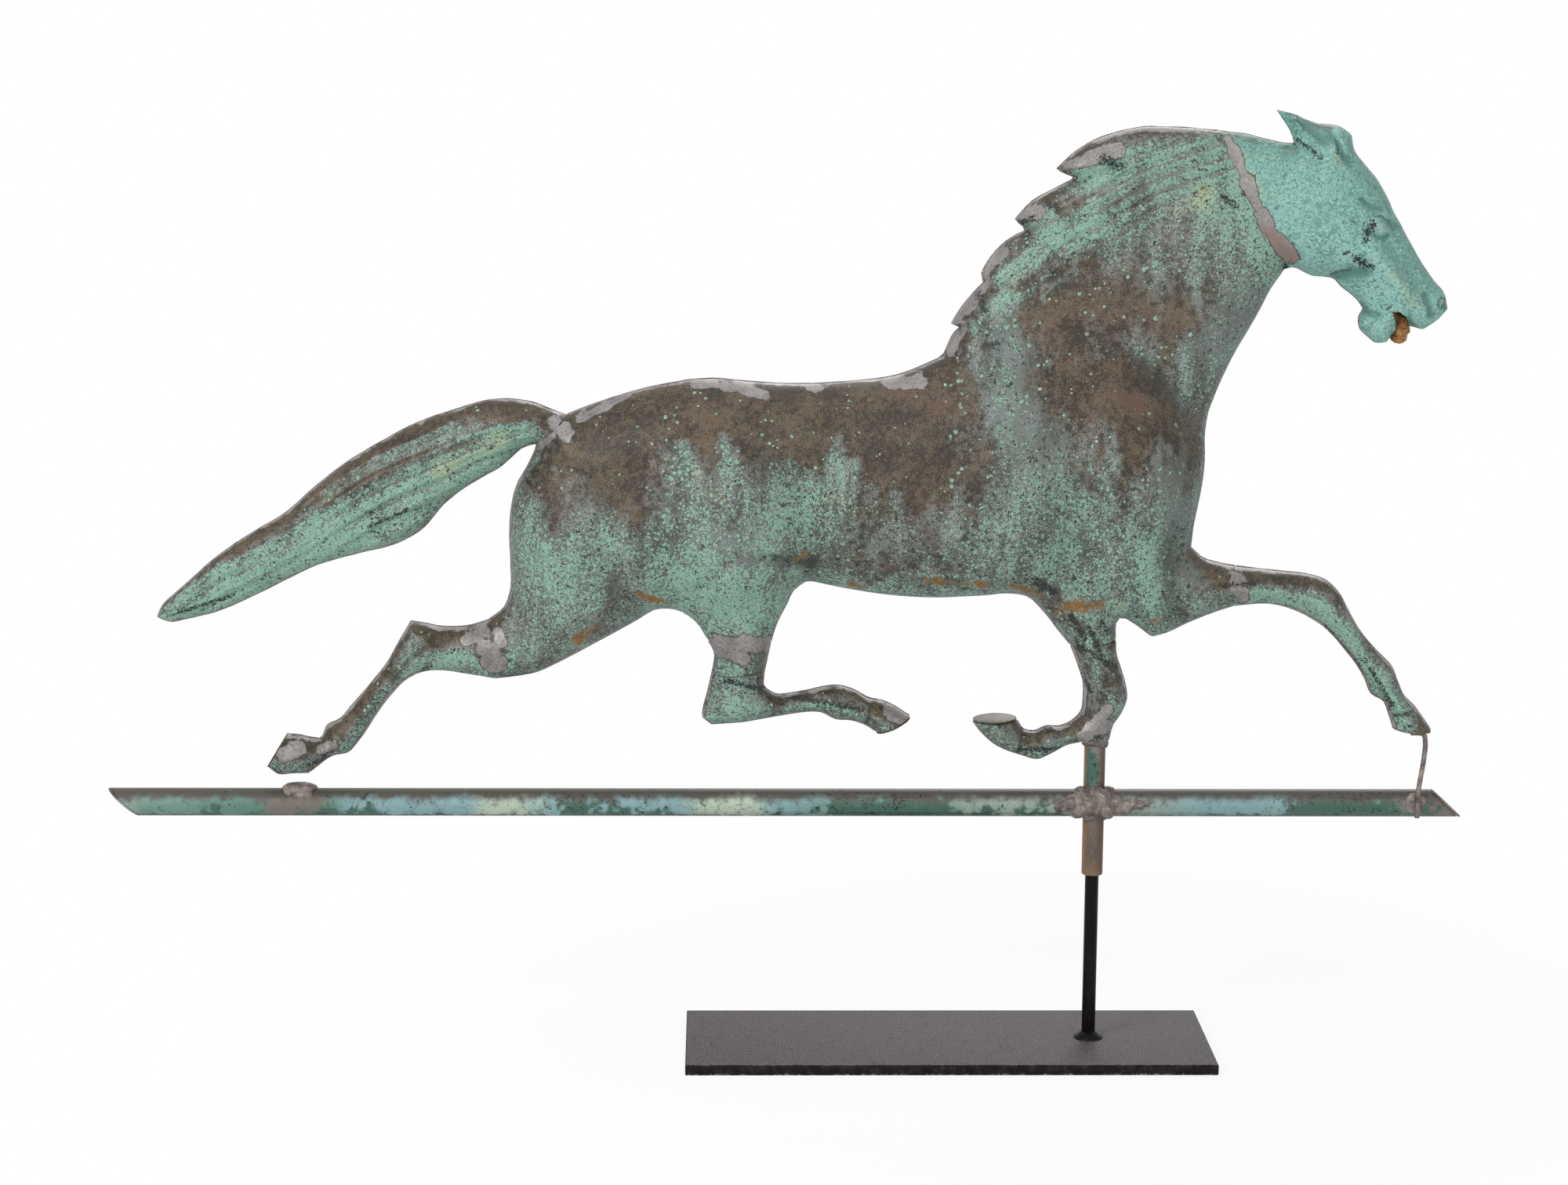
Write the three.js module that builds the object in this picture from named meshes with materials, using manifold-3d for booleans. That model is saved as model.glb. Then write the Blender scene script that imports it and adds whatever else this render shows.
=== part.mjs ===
// A running-horse weathervane on a steel spindle stand.
// Millimetres, +Z up. The horse faces +X and its right side faces -Y.
// The origin is on the turning axis, on the underside of the stand's plate.

import * as THREE from "three";
import { mergeVertices } from "three/addons/utils/BufferGeometryUtils.js";
import Module from "manifold-3d";

const wasm = await Module();
wasm.setup();

// Stand
const PLATE_LENGTH = 304.8;
const PLATE_WIDTH = 101.6;
const PLATE_THICKNESS = 6.35;
const PLATE_CHAMFER = 0.5;
const PLATE_NOSE = 69.4; // from the spindle's axis to the plate's front edge
const SPINDLE_DIAMETER = 7.94;
const SPINDLE_POINT = 8; // length of the turned point at the spindle's top
const WELD_WIDTH = 4.4;
const WELD_HEIGHT = 4;

// Directional rod, a tube with both ends cut on the slant
const ROD_DIAMETER = 15.9;
const ROD_WALL = 1.2;
const ROD_HEIGHT = 147.7; // of its axis above the table
const ROD_REAR = 558.2; // along its axis, behind the spindle
const ROD_FRONT = 204.6;
const ROD_SLANT = 8.6; // how far each end leans along the rod, from its middle to its edge
const ROD_CAP = 1.2;

// Pivot sleeve, the tube that turns on the spindle
const SLEEVE_DIAMETER = 12.3;
const SLEEVE_WALL = 1.2;
const SLEEVE_BOTTOM = 105.1;
const SLEEVE_TOP = 400;
const SLEEVE_CHAMFER = 0.6;
const SEAT_LENGTH = 14; // of the plug inside the sleeve's top
const SEAT_HEAD = 4;
const SEAT_DIMPLE = 5; // depth of the cone that rides on the spindle's point

// Figure, a hollow horse of sheet copper in right and left halves
const FIGURE_LENGTH = 728; // from the nose to the tip of the tail
const HOOF_LIFT = 9.35; // from the top of the rod to the lowest hoof
const SHEET = 1;
const SEAM_EDGE = 0.9; // half thickness of the figure where its halves meet
const EAR_SPACE = 7; // between the tips of the two ears
const EAR_EDGE = 1.6; // thickness of an ear at its rim
const EAR_ROOT_SHARES = [0.155, 0.5]; // where the ears leave the poll, in the outline's shares

// Prop wire from the extended fore hoof to the rod, and the solder on the rod
const WIRE_DIAMETER = 2.9;
const WIRE_TAB = 11; // the length that lies under the sole
const WIRE_BEND = 4; // drop of the bend under the toe
const WIRE_LEAN = 7.6; // how far the wire's foot stands behind the toe
const PROP_PAD_LENGTH = 16;
const PROP_PAD_HEIGHT = 1.6;
const PROP_PAD_TURN = 0.2; // radians that the pad lies above the middle of the rod's near side
const POST_PAD_LENGTH = 46;
const POST_PAD_HEIGHT = 1.5;
const POST_PAD_AHEAD = 2.5;
const STUB_LENGTH = 23;
const STUB_HEIGHT = 3.4;

// Fits
const GAP = 0.3; // between pieces that are soldered or rest on each other
const OVERRUN = 6; // how far a cutting shape passes what it cuts

// Fineness of the meshes
const ROUND_SIDES = 24;
const BODY_STEP = 13;
const BODY_GRID = 23;
const LIMB_STEP = 9;
const LIMB_GRID = 12;
const OUTLINE_STEP = 4;

const ROD_RADIUS = ROD_DIAMETER / 2;
const SLEEVE_RADIUS = SLEEVE_DIAMETER / 2;
const FIGURE_BASE = ROD_HEIGHT + ROD_RADIUS + HOOF_LIFT;

// The figure's outline, in shares of its length: x from the turning axis, z from the lowest hoof.
// Each run is one smooth stretch, and together the runs go round the horse anticlockwise.
const OUTLINE_SHARES = {
  crest: [
    [0.0829, 0.505], [0.0684, 0.5067], [0.0378, 0.5078], [0.0179, 0.507], [0.001, 0.5018],
    [-0.0173, 0.495], [-0.0295, 0.4855], [-0.0403, 0.4756],
  ],
  lock_1: [[-0.0403, 0.4756], [-0.025, 0.4687]],
  mane_2: [[-0.025, 0.4687], [-0.0418, 0.4603], [-0.0587, 0.4504], [-0.0714, 0.4369]],
  lock_2: [[-0.0714, 0.4369], [-0.0617, 0.4294]],
  mane_3: [[-0.0617, 0.4294], [-0.0793, 0.419], [-0.0915, 0.405], [-0.0966, 0.3953]],
  lock_3: [[-0.0966, 0.3953], [-0.0933, 0.3898]],
  mane_4: [[-0.0933, 0.3898], [-0.1053, 0.3771], [-0.113, 0.3665], [-0.1192, 0.3568]],
  lock_4: [[-0.1192, 0.3568], [-0.1124, 0.354]],
  withers: [[-0.1124, 0.354], [-0.1165, 0.35], [-0.12, 0.3435], [-0.1232, 0.335], [-0.125, 0.3315]],
  back: [
    [-0.125, 0.3315], [-0.136, 0.326], [-0.1615, 0.3163], [-0.1921, 0.3122], [-0.2355, 0.3096],
    [-0.2763, 0.3114], [-0.3044, 0.3135], [-0.3324, 0.3104], [-0.3631, 0.3035], [-0.3911, 0.2946],
    [-0.4167, 0.2848],
  ],
  tail_joint: [[-0.4167, 0.2848], [-0.4385, 0.2625]],
  tail_top: [
    [-0.4167, 0.2848], [-0.4294, 0.2895], [-0.4409, 0.2941], [-0.4593, 0.297], [-0.4765, 0.2959],
    [-0.5006, 0.289], [-0.5304, 0.2787], [-0.5534, 0.2667], [-0.5809, 0.2507], [-0.6096, 0.2293],
    [-0.6337, 0.208], [-0.6613, 0.1912], [-0.6888, 0.1723], [-0.7129, 0.1511], [-0.7336, 0.132],
    [-0.7362, 0.125],
  ],
  tail_under: [
    [-0.7362, 0.125], [-0.734, 0.1215], [-0.7106, 0.1243], [-0.6865, 0.1307], [-0.659, 0.1431],
    [-0.636, 0.1545], [-0.6108, 0.1667], [-0.5763, 0.1767], [-0.5499, 0.1834], [-0.5293, 0.1949],
    [-0.5109, 0.2155], [-0.4891, 0.232], [-0.4661, 0.2452], [-0.457, 0.2538], [-0.4466, 0.2615],
    [-0.4409, 0.2636], [-0.4385, 0.2625],
  ],
  buttock: [
    [-0.4385, 0.2625], [-0.438, 0.2572], [-0.4455, 0.2465], [-0.4524, 0.2351], [-0.4593, 0.2121], [-0.4606, 0.1823],
    [-0.46, 0.1501], [-0.465, 0.1336], [-0.4786, 0.1229],
  ],
  hind_joint: [[-0.4786, 0.1229], [-0.474, 0.0769]],
  hind_top: [
    [-0.4786, 0.1229], [-0.4914, 0.1187], [-0.5167, 0.1177], [-0.5281, 0.1203], [-0.5385, 0.1219],
  ],
  hind_rear: [
    [-0.5385, 0.1219], [-0.5452, 0.1106], [-0.5567, 0.09], [-0.5728, 0.0693], [-0.59, 0.0498],
    [-0.5962, 0.0428], [-0.6042, 0.0406], [-0.6083, 0.0314], [-0.61, 0.0273],
  ],
  hind_heel: [[-0.61, 0.0273], [-0.6164, 0.0278], [-0.6256, 0.03], [-0.637, 0.0318]],
  hind_sole: [[-0.637, 0.0318], [-0.653, 0.0055]],
  hind_hoof: [[-0.653, 0.0055], [-0.649, 0.0002], [-0.634, 0], [-0.6205, 0.0002]],
  hind_front: [
    [-0.6205, 0.0002], [-0.6129, 0.0062], [-0.6054, 0.0131], [-0.5893, 0.0171], [-0.5788, 0.0296],
    [-0.565, 0.0503], [-0.5514, 0.0674], [-0.5378, 0.079], [-0.5188, 0.0833], [-0.4947, 0.0803],
    [-0.474, 0.0769],
  ],
  haunch: [
    [-0.474, 0.0769], [-0.4626, 0.078], [-0.4419, 0.0813], [-0.4167, 0.0934], [-0.3891, 0.1083],
    [-0.3616, 0.1237], [-0.3512, 0.1302], [-0.3409, 0.1338], [-0.3329, 0.1325], [-0.3225, 0.1279],
    [-0.3145, 0.121], [-0.3055, 0.107],
  ],
  gaskin_joint: [[-0.3055, 0.107], [-0.2568, 0.107]],
  gaskin_rear: [
    [-0.3055, 0.107], [-0.3014, 0.0992], [-0.3014, 0.0911], [-0.3056, 0.0693], [-0.3104, 0.0498],
    [-0.3106, 0.045], [-0.3083, 0.0413], [-0.3033, 0.04],
  ],
  cannon_under: [
    [-0.3033, 0.04], [-0.2803, 0.0416], [-0.2528, 0.0464], [-0.2275, 0.0503], [-0.2183, 0.0503],
    [-0.2034, 0.0436], [-0.1965, 0.0429], [-0.1857, 0.0436], [-0.1816, 0.0383], [-0.173, 0.0326],
  ],
  tucked_sole: [[-0.173, 0.0326], [-0.1466, 0.045]],
  cannon_top: [
    [-0.1466, 0.045], [-0.1518, 0.0498], [-0.1678, 0.0585], [-0.1793, 0.0608], [-0.1965, 0.0698],
    [-0.2091, 0.0709], [-0.2298, 0.0666], [-0.2436, 0.0645], [-0.255, 0.0643], [-0.2608, 0.0665],
    [-0.2633, 0.0716], [-0.2622, 0.0808], [-0.2568, 0.107],
  ],
  flank: [[-0.2568, 0.107], [-0.2508, 0.1244], [-0.2412, 0.1428], [-0.237, 0.1518], [-0.2282, 0.1556]],
  belly: [
    [-0.2282, 0.1556], [-0.2023, 0.1501], [-0.1655, 0.1444], [-0.1288, 0.1423], [-0.0921, 0.1439],
    [-0.0588, 0.1444], [-0.045, 0.1329], [-0.0278, 0.1118], [-0.0209, 0.1035],
  ],
  arm_joint: [[-0.0209, 0.1035], [0.0141, 0.1085]],
  arm_rear: [
    [-0.0209, 0.1035], [-0.0155, 0.0902], [-0.0104, 0.0729], [-0.01, 0.0615], [-0.0109, 0.0523],
    [-0.0178, 0.0437], [-0.0293, 0.0382], [-0.0419, 0.0382], [-0.05, 0.034], [-0.0563, 0.0337],
    [-0.0605, 0.0415], [-0.0628, 0.0458],
  ],
  bent_sole: [[-0.0628, 0.0458], [-0.097, 0.0444]],
  bent_front: [
    [-0.097, 0.0444], [-0.0952, 0.0396], [-0.0833, 0.027], [-0.0775, 0.0224], [-0.0603, 0.0161],
    [-0.0483, 0.012], [-0.035, 0.0167], [-0.0213, 0.0241], [-0.0109, 0.0262],
  ],
  sleeve_exit: [[-0.0109, 0.0262], [0.0106, 0.0275]],
  arm_front: [
    [0.0106, 0.0275], [0.0126, 0.0373], [0.0189, 0.0477], [0.0238, 0.058], [0.0233, 0.0683],
    [0.0206, 0.0792], [0.0155, 0.0936], [0.0141, 0.1085],
  ],
  elbow_slot: [[0.0141, 0.1085], [0.0136, 0.1166], [0.0138, 0.122], [0.016, 0.1262], [0.0201, 0.1266]],
  elbow: [
    [0.0201, 0.1266], [0.0335, 0.1181], [0.0402, 0.1122], [0.0447, 0.1106], [0.0492, 0.1118], [0.0603, 0.1176], [0.0872, 0.1295],
    [0.106, 0.1357],
  ],
  forearm_joint: [[0.106, 0.1357], [0.106, 0.1672]],
  forearm_under: [
    [0.106, 0.1357], [0.1296, 0.1379], [0.1502, 0.1342], [0.1701, 0.1247], [0.1831, 0.1147],
    [0.2, 0.0956], [0.2107, 0.0803], [0.2153, 0.0705], [0.2168, 0.0665], [0.222, 0.0616],
    [0.2275, 0.0598], [0.2321, 0.0495], [0.2338, 0.0425], [0.2355, 0.0372],
  ],
  raised_sole: [[0.2355, 0.0372], [0.2657, 0.0345]],
  forearm_top: [
    [0.2657, 0.0345], [0.2558, 0.0507], [0.2428, 0.065], [0.2375, 0.0765], [0.2321, 0.088],
    [0.2176, 0.1025], [0.203, 0.1209], [0.1944, 0.1366], [0.1832, 0.1527], [0.1676, 0.16],
    [0.1385, 0.1636], [0.106, 0.1672],
  ],
  armpit: [[0.106, 0.1672], [0.0916, 0.1703], [0.0804, 0.1739], [0.0711, 0.1824]],
  chest: [
    [0.0711, 0.1824], [0.0733, 0.2036], [0.0782, 0.2304], [0.08, 0.2549], [0.0798, 0.2806],
    [0.086, 0.3018], [0.0983, 0.3308], [0.1162, 0.3632], [0.13, 0.3903], [0.137, 0.3999],
  ],
  head_joint: [
    [0.137, 0.3999], [0.1296, 0.4144], [0.1204, 0.4282], [0.1128, 0.4435], [0.1036, 0.4588],
    [0.0959, 0.4741], [0.0913, 0.4894], [0.0829, 0.505],
  ],
  jaw: [
    [0.137, 0.3999], [0.1415, 0.4022], [0.1447, 0.402], [0.1549, 0.397], [0.16, 0.3951],
    [0.1677, 0.3945], [0.1735, 0.3945], [0.1818, 0.3871],
    [0.1945, 0.3769], [0.1996, 0.3699], [0.1964, 0.3623], [0.1971, 0.3546], [0.2073, 0.3457],
    [0.2124, 0.3422], [0.2207, 0.3453], [0.2224, 0.3502],
  ],
  mouth_below: [[0.2224, 0.3502], [0.2206, 0.3612], [0.2165, 0.3699]],
  mouth_above: [[0.2165, 0.3699], [0.2265, 0.369], [0.2335, 0.3616], [0.2354, 0.3572]],
  muzzle: [
    [0.2354, 0.3572], [0.2444, 0.3533], [0.2514, 0.3581], [0.261, 0.3642], [0.2653, 0.3737],
    [0.2603, 0.3827], [0.2482, 0.3973], [0.2329, 0.4216], [0.2201, 0.4433], [0.2124, 0.4586],
    [0.2022, 0.4732], [0.1907, 0.486], [0.1876, 0.4905], [0.1875, 0.4988], [0.1855, 0.5022],
    [0.1805, 0.506], [0.1747, 0.509], [0.1613, 0.5109],
    [0.1473, 0.515], [0.1319, 0.5216], [0.1284, 0.521],
  ],
  ear: [[0.1284, 0.521], [0.1358, 0.5102], [0.1396, 0.5039], [0.1424, 0.4952]],
  poll: [[0.1424, 0.4952], [0.1307, 0.4964], [0.121, 0.4985], [0.1051, 0.5025], [0.0829, 0.505]],
};

// Runs that are cut flat: joints between pieces, soles, the mouth and the way out for the sleeve.
const JOINTS = ["tail_joint", "hind_joint", "gaskin_joint", "arm_joint", "forearm_joint", "head_joint"];
const SOLES = ["hind_sole", "tucked_sole", "bent_sole", "raised_sole"];
const FLAT_RUNS = [...JOINTS, ...SOLES, "mouth_below", "mouth_above", "sleeve_exit"];

// The pieces, each the runs that go round it, with a minus before a run that is followed backwards.
const PIECES = {
  body: [
    "crest", "lock_1", "mane_2", "lock_2", "mane_3", "lock_3", "mane_4", "lock_4", "withers", "back",
    "tail_joint", "buttock", "hind_joint", "haunch", "gaskin_joint", "flank", "belly", "arm_joint",
    "elbow_slot", "elbow", "forearm_joint", "armpit", "chest", "head_joint",
  ],
  head: ["jaw", "mouth_below", "mouth_above", "muzzle", "ear", "poll", "-head_joint"],
  tail: ["tail_top", "tail_under", "-tail_joint"],
  hind_leg_stretched: [
    "hind_top", "hind_rear", "hind_heel", "hind_sole", "hind_hoof", "hind_front", "-hind_joint",
  ],
  hind_leg_folded: ["gaskin_rear", "cannon_under", "tucked_sole", "cannon_top", "-gaskin_joint"],
  foreleg_folded: ["arm_rear", "bent_sole", "bent_front", "sleeve_exit", "arm_front", "-arm_joint"],
  foreleg_stretched: ["forearm_under", "raised_sole", "forearm_top", "-forearm_joint"],
};

// Half thickness of the figure at chosen places: x, z and thickness, in shares of its length.
const THICKNESS_SHARES = [
  [-0.43, 0.275, 0.019], [-0.47, 0.27, 0.019], [-0.55, 0.22, 0.021], [-0.63, 0.18, 0.018],
  [-0.72, 0.13, 0.01], [-0.39, 0.26, 0.042], [-0.41, 0.2, 0.049], [-0.36, 0.2, 0.053],
  [-0.42, 0.13, 0.035], [-0.46, 0.1, 0.022], [-0.3, 0.18, 0.047], [-0.28, 0.12, 0.022],
  [-0.515, 0.1, 0.018], [-0.56, 0.065, 0.013], [-0.6, 0.027, 0.015], [-0.635, 0.012, 0.019],
  [-0.285, 0.085, 0.016], [-0.28, 0.05, 0.016], [-0.23, 0.058, 0.0125], [-0.19, 0.055, 0.0145],
  [-0.16, 0.044, 0.018], [-0.24, 0.24, 0.046], [-0.15, 0.22, 0.05], [-0.08, 0.23, 0.05],
  [-0.24, 0.18, 0.04], [-0.2, 0.29, 0.04], [-0.12, 0.16, 0.043], [0, 0.25, 0.051],
  [0.05, 0.22, 0.045], [0.03, 0.16, 0.034], [-0.07, 0.33, 0.036], [0.03, 0.33, 0.036],
  [0.06, 0.4, 0.031], [0.09, 0.45, 0.027], [0.02, 0.48, 0.021], [-0.06, 0.42, 0.021],
  [0, 0.1, 0.0165], [0.003, 0.06, 0.016], [-0.03, 0.03, 0.0135], [-0.08, 0.035, 0.0175],
  [0.08, 0.15, 0.023], [0.14, 0.15, 0.0175], [0.185, 0.135, 0.017], [0.21, 0.1, 0.0125],
  [0.225, 0.07, 0.0145], [0.25, 0.045, 0.0185], [0.13, 0.46, 0.027], [0.165, 0.43, 0.034],
  [0.205, 0.435, 0.031], [0.225, 0.4, 0.025], [0.245, 0.37, 0.024], [0.215, 0.355, 0.017],
  [0.14, 0.51, 0.018], [0.17, 0.49, 0.026],
];
const ROUNDNESS_SHARE = 1.3; // width of the rounded edge, as a share of the half thickness

// Muscles and hollows beaten into the sheet: a line from x, z to x, z, its width and its height.
const RELIEF_SHARES = [
  [0.024, 0.33, 0.07, 0.262, 0.011, -0.0045],
  [-0.03, 0.34, 0.035, 0.23, 0.032, 0.006],
  [0.055, 0.2, 0.056, 0.135, 0.012, -0.005],
  [-0.04, 0.27, -0.03, 0.16, 0.016, -0.0045],
  [-0.255, 0.25, -0.225, 0.17, 0.02, -0.006],
  [-0.33, 0.27, -0.285, 0.16, 0.03, 0.005],
  [-0.4, 0.23, -0.375, 0.14, 0.014, -0.003],
  [0.174, 0.393, 0.197, 0.402, 0.008, -0.005],
  [0.162, 0.425, 0.175, 0.415, 0.016, 0.004],
  [0.203, 0.443, 0.214, 0.441, 0.006, 0.003],
  [0.204, 0.432, 0.208, 0.432, 0.006, 0.002],
  [0.2, 0.415, 0.228, 0.388, 0.008, 0.002],
  [0.257, 0.374, 0.26, 0.373, 0.006, -0.002],
  [-0.1, 0.37, 0.02, 0.475, 0.02, 0.004],
];

const COPPER = { color: 0x5c6e60, roughness: 0.75, metalness: 0.3 };
const GREEN_METAL = { color: 0x86b8a8, roughness: 0.8, metalness: 0.1 };
const SOLDER = { color: 0x8d8688, roughness: 0.6, metalness: 0.5 };
const BLACK_STEEL = { color: 0x1c1817, roughness: 0.35, metalness: 0.4 };

const horseWeathervane = new THREE.Group();

function addMesh(parent, name, geometry, material) {
  const mesh = new THREE.Mesh(geometry, new THREE.MeshStandardMaterial(material));
  mesh.name = name;
  parent.add(mesh);
  return mesh;
}

// A closed three.js geometry as a solid that can be cut, and back.
function solidFrom(geometry) {
  const bare = geometry.clone();
  bare.deleteAttribute("normal");
  bare.deleteAttribute("uv");
  const merged = mergeVertices(bare);
  return new wasm.Manifold(
    new wasm.Mesh({
      numProp: 3,
      vertProperties: merged.attributes.position.array,
      triVerts: new Uint32Array(merged.index.array),
    }),
  );
}

function geometryFrom(solid) {
  const mesh = solid.getMesh();
  const geometry = new THREE.BufferGeometry();
  geometry.setAttribute("position", new THREE.BufferAttribute(mesh.vertProperties, 3));
  geometry.setIndex(new THREE.BufferAttribute(mesh.triVerts, 1));
  geometry.computeVertexNormals();
  return geometry;
}

// A turned piece from its [radius, height] profile, given upwards along its outside.
function turned(profile) {
  const points = profile.map(([radius, height]) => new THREE.Vector2(radius, height));
  return new THREE.LatheGeometry(points, ROUND_SIDES).rotateX(Math.PI / 2);
}

function standingCylinder(radius, bottom, top) {
  const height = top - bottom;
  return new THREE.CylinderGeometry(radius, radius, height, ROUND_SIDES)
    .rotateX(Math.PI / 2)
    .translate(0, 0, bottom + height / 2);
}

// The stretch of outline that a run names, as points about one step apart.
function runPoints(name, step) {
  const points = OUTLINE_SHARES[name].map(
    ([x, z]) => new THREE.Vector3(x * FIGURE_LENGTH, 0, z * FIGURE_LENGTH),
  );
  const curve = new THREE.CatmullRomCurve3(points, false, "centripetal");
  const steps = Math.max(points.length - 1, Math.round(curve.getLength() / step));
  return curve.getSpacedPoints(steps).map((p) => keptRoundSleeve(name, p.x, p.z));
}

// The folded foreleg is beaten round the sleeve, so its outline leaves room for the sheet there.
const SLEEVE_COVER = SLEEVE_RADIUS + GAP + SHEET;
function keptRoundSleeve(name, x, z) {
  if (name === "arm_rear" || name === "bent_front") return { x: Math.min(x, -SLEEVE_COVER), z };
  if (name === "arm_front" || name === "elbow_slot") return { x: Math.max(x, SLEEVE_COVER), z };
  return { x, z };
}

const roundedEdges = Object.keys(OUTLINE_SHARES)
  .filter((name) => !FLAT_RUNS.includes(name))
  .flatMap((name) => {
    const points = runPoints(name, OUTLINE_STEP);
    return points.slice(1).map((end, i) => [points[i], end]);
  });

function distanceToSegment(x, z, a, b) {
  const dx = b.x - a.x;
  const dz = b.z - a.z;
  const along = ((x - a.x) * dx + (z - a.z) * dz) / (dx * dx + dz * dz);
  const t = THREE.MathUtils.clamp(along, 0, 1);
  return Math.hypot(x - a.x - t * dx, z - a.z - t * dz);
}

function edgeDistance(x, z) {
  return Math.min(...roundedEdges.map(([a, b]) => distanceToSegment(x, z, a, b)));
}

// Thickness between the chosen places, nearer places weighing more.
function fullThickness(x, z) {
  let sum = 0;
  let weights = 0;
  for (const [shareX, shareZ, thickness] of THICKNESS_SHARES) {
    const away = Math.hypot(x / FIGURE_LENGTH - shareX, z / FIGURE_LENGTH - shareZ);
    const weight = 1 / Math.max(away, Number.EPSILON) ** 3;
    sum += weight * thickness;
    weights += weight;
  }
  return (sum / weights) * FIGURE_LENGTH;
}

function reliefHeight(x, z) {
  let height = 0;
  for (const [x1, z1, x2, z2, width, rise] of RELIEF_SHARES) {
    const away = distanceToSegment(x / FIGURE_LENGTH, z / FIGURE_LENGTH, { x: x1, z: z1 }, { x: x2, z: z2 });
    height += rise * Math.exp(-((away / width) ** 2));
  }
  return height * FIGURE_LENGTH;
}

// The ears part from the poll: a wedge of space lies between them, along their length.
const figurePoint = ([x, z]) => new THREE.Vector3(x * FIGURE_LENGTH, 0, z * FIGURE_LENGTH);
const earTip = figurePoint(OUTLINE_SHARES.ear[0]);
const earRoot = figurePoint(EAR_ROOT_SHARES);
const earLength = earTip.distanceTo(earRoot);
const EAR_BELOW_SHARE = 0.24; // width of the space below the line from root to tip, of the ear's length
const EAR_ABOVE_SHARE = 0.5;
function earWidth(x, z) {
  const alongX = (earTip.x - earRoot.x) / earLength;
  const alongZ = (earTip.z - earRoot.z) / earLength;
  const along = (x - earRoot.x) * alongX + (z - earRoot.z) * alongZ;
  const below = (earRoot.z - z) * -alongX + (earRoot.x - x) * alongZ;
  const within = below < EAR_BELOW_SHARE * earLength && below > -EAR_ABOVE_SHARE * earLength;
  return along > 0 && within ? (along / earLength) * (EAR_SPACE / 2) + EAR_EDGE : 0;
}

// Half thickness of the horse at a place in its plane: round edges, then the relief on top.
const LEG_TOP = OUTLINE_SHARES.arm_joint[1][1] * FIGURE_LENGTH;
function halfThickness(x, z) {
  const full = fullThickness(x, z);
  const inset = Math.min(edgeDistance(x, z) / (ROUNDNESS_SHARE * full), 1);
  const round = Math.sqrt(1 - (1 - inset) ** 2);
  const beaten = SEAM_EDGE + round * (full + reliefHeight(x, z));
  const roundSleeve = z < LEG_TOP ? Math.sqrt(Math.max(SLEEVE_COVER ** 2 - x * x, 0)) : 0;
  return Math.max(beaten, roundSleeve, earWidth(x, z));
}

// How deep the sheet reaches inwards, measured across the figure: more where the face is steep.
function sheetDepth(x, z, inward) {
  const reach = SHEET / 2;
  const px = x + inward.x * SHEET;
  const pz = z + inward.z * SHEET;
  const slopeX = (halfThickness(px + reach, pz) - halfThickness(px - reach, pz)) / SHEET;
  const slopeZ = (halfThickness(px, pz + reach) - halfThickness(px, pz - reach)) / SHEET;
  return SHEET * Math.min(Math.hypot(1, slopeX, slopeZ), OVERRUN);
}

// Outline of a piece as points that each know their inward direction and whether their edge is open.
function pieceOutline(runs, step) {
  const outline = [];
  runs.forEach((entry) => {
    const backwards = entry.startsWith("-");
    const name = backwards ? entry.slice(1) : entry;
    const joint = JOINTS.includes(name);
    const sole = SOLES.includes(name);
    const inset = joint ? GAP / 2 : sole ? SHEET + GAP : 0;
    const points = runPoints(name, step);
    if (backwards) points.reverse();
    points.forEach((p, i) => {
      const before = points[Math.max(i - 1, 0)];
      const after = points[Math.min(i + 1, points.length - 1)];
      const length = Math.hypot(after.x - before.x, after.z - before.z);
      const inward = { x: (before.z - after.z) / length, z: (after.x - before.x) / length };
      const open = joint || sole;
      const corner = i === 0 || i === points.length - 1;
      outline.push({ x: p.x + inward.x * inset, z: p.z + inward.z * inset, inward, open, corner });
    });
  });
  // Where two runs meet, the point of the flat one stays.
  return outline.filter((p, i) => {
    const next = outline[(i + 1) % outline.length];
    const last = outline[(i + outline.length - 1) % outline.length];
    if (!p.corner || p.open) return true;
    if (Math.hypot(p.x - next.x, p.z - next.z) < SHEET + 2 * GAP && next.corner) return false;
    return !(last.corner && last.open && Math.hypot(p.x - last.x, p.z - last.z) < SHEET + 2 * GAP);
  });
}

function insideOutline(x, z, outline) {
  let inside = false;
  outline.forEach((a, i) => {
    const b = outline[(i + 1) % outline.length];
    if (a.z > z !== b.z > z && x < a.x + ((z - a.z) / (b.z - a.z)) * (b.x - a.x)) inside = !inside;
  });
  return inside;
}

function distanceToOutline(x, z, outline) {
  return Math.min(...outline.map((a, i) => distanceToSegment(x, z, a, outline[(i + 1) % outline.length])));
}

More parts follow.
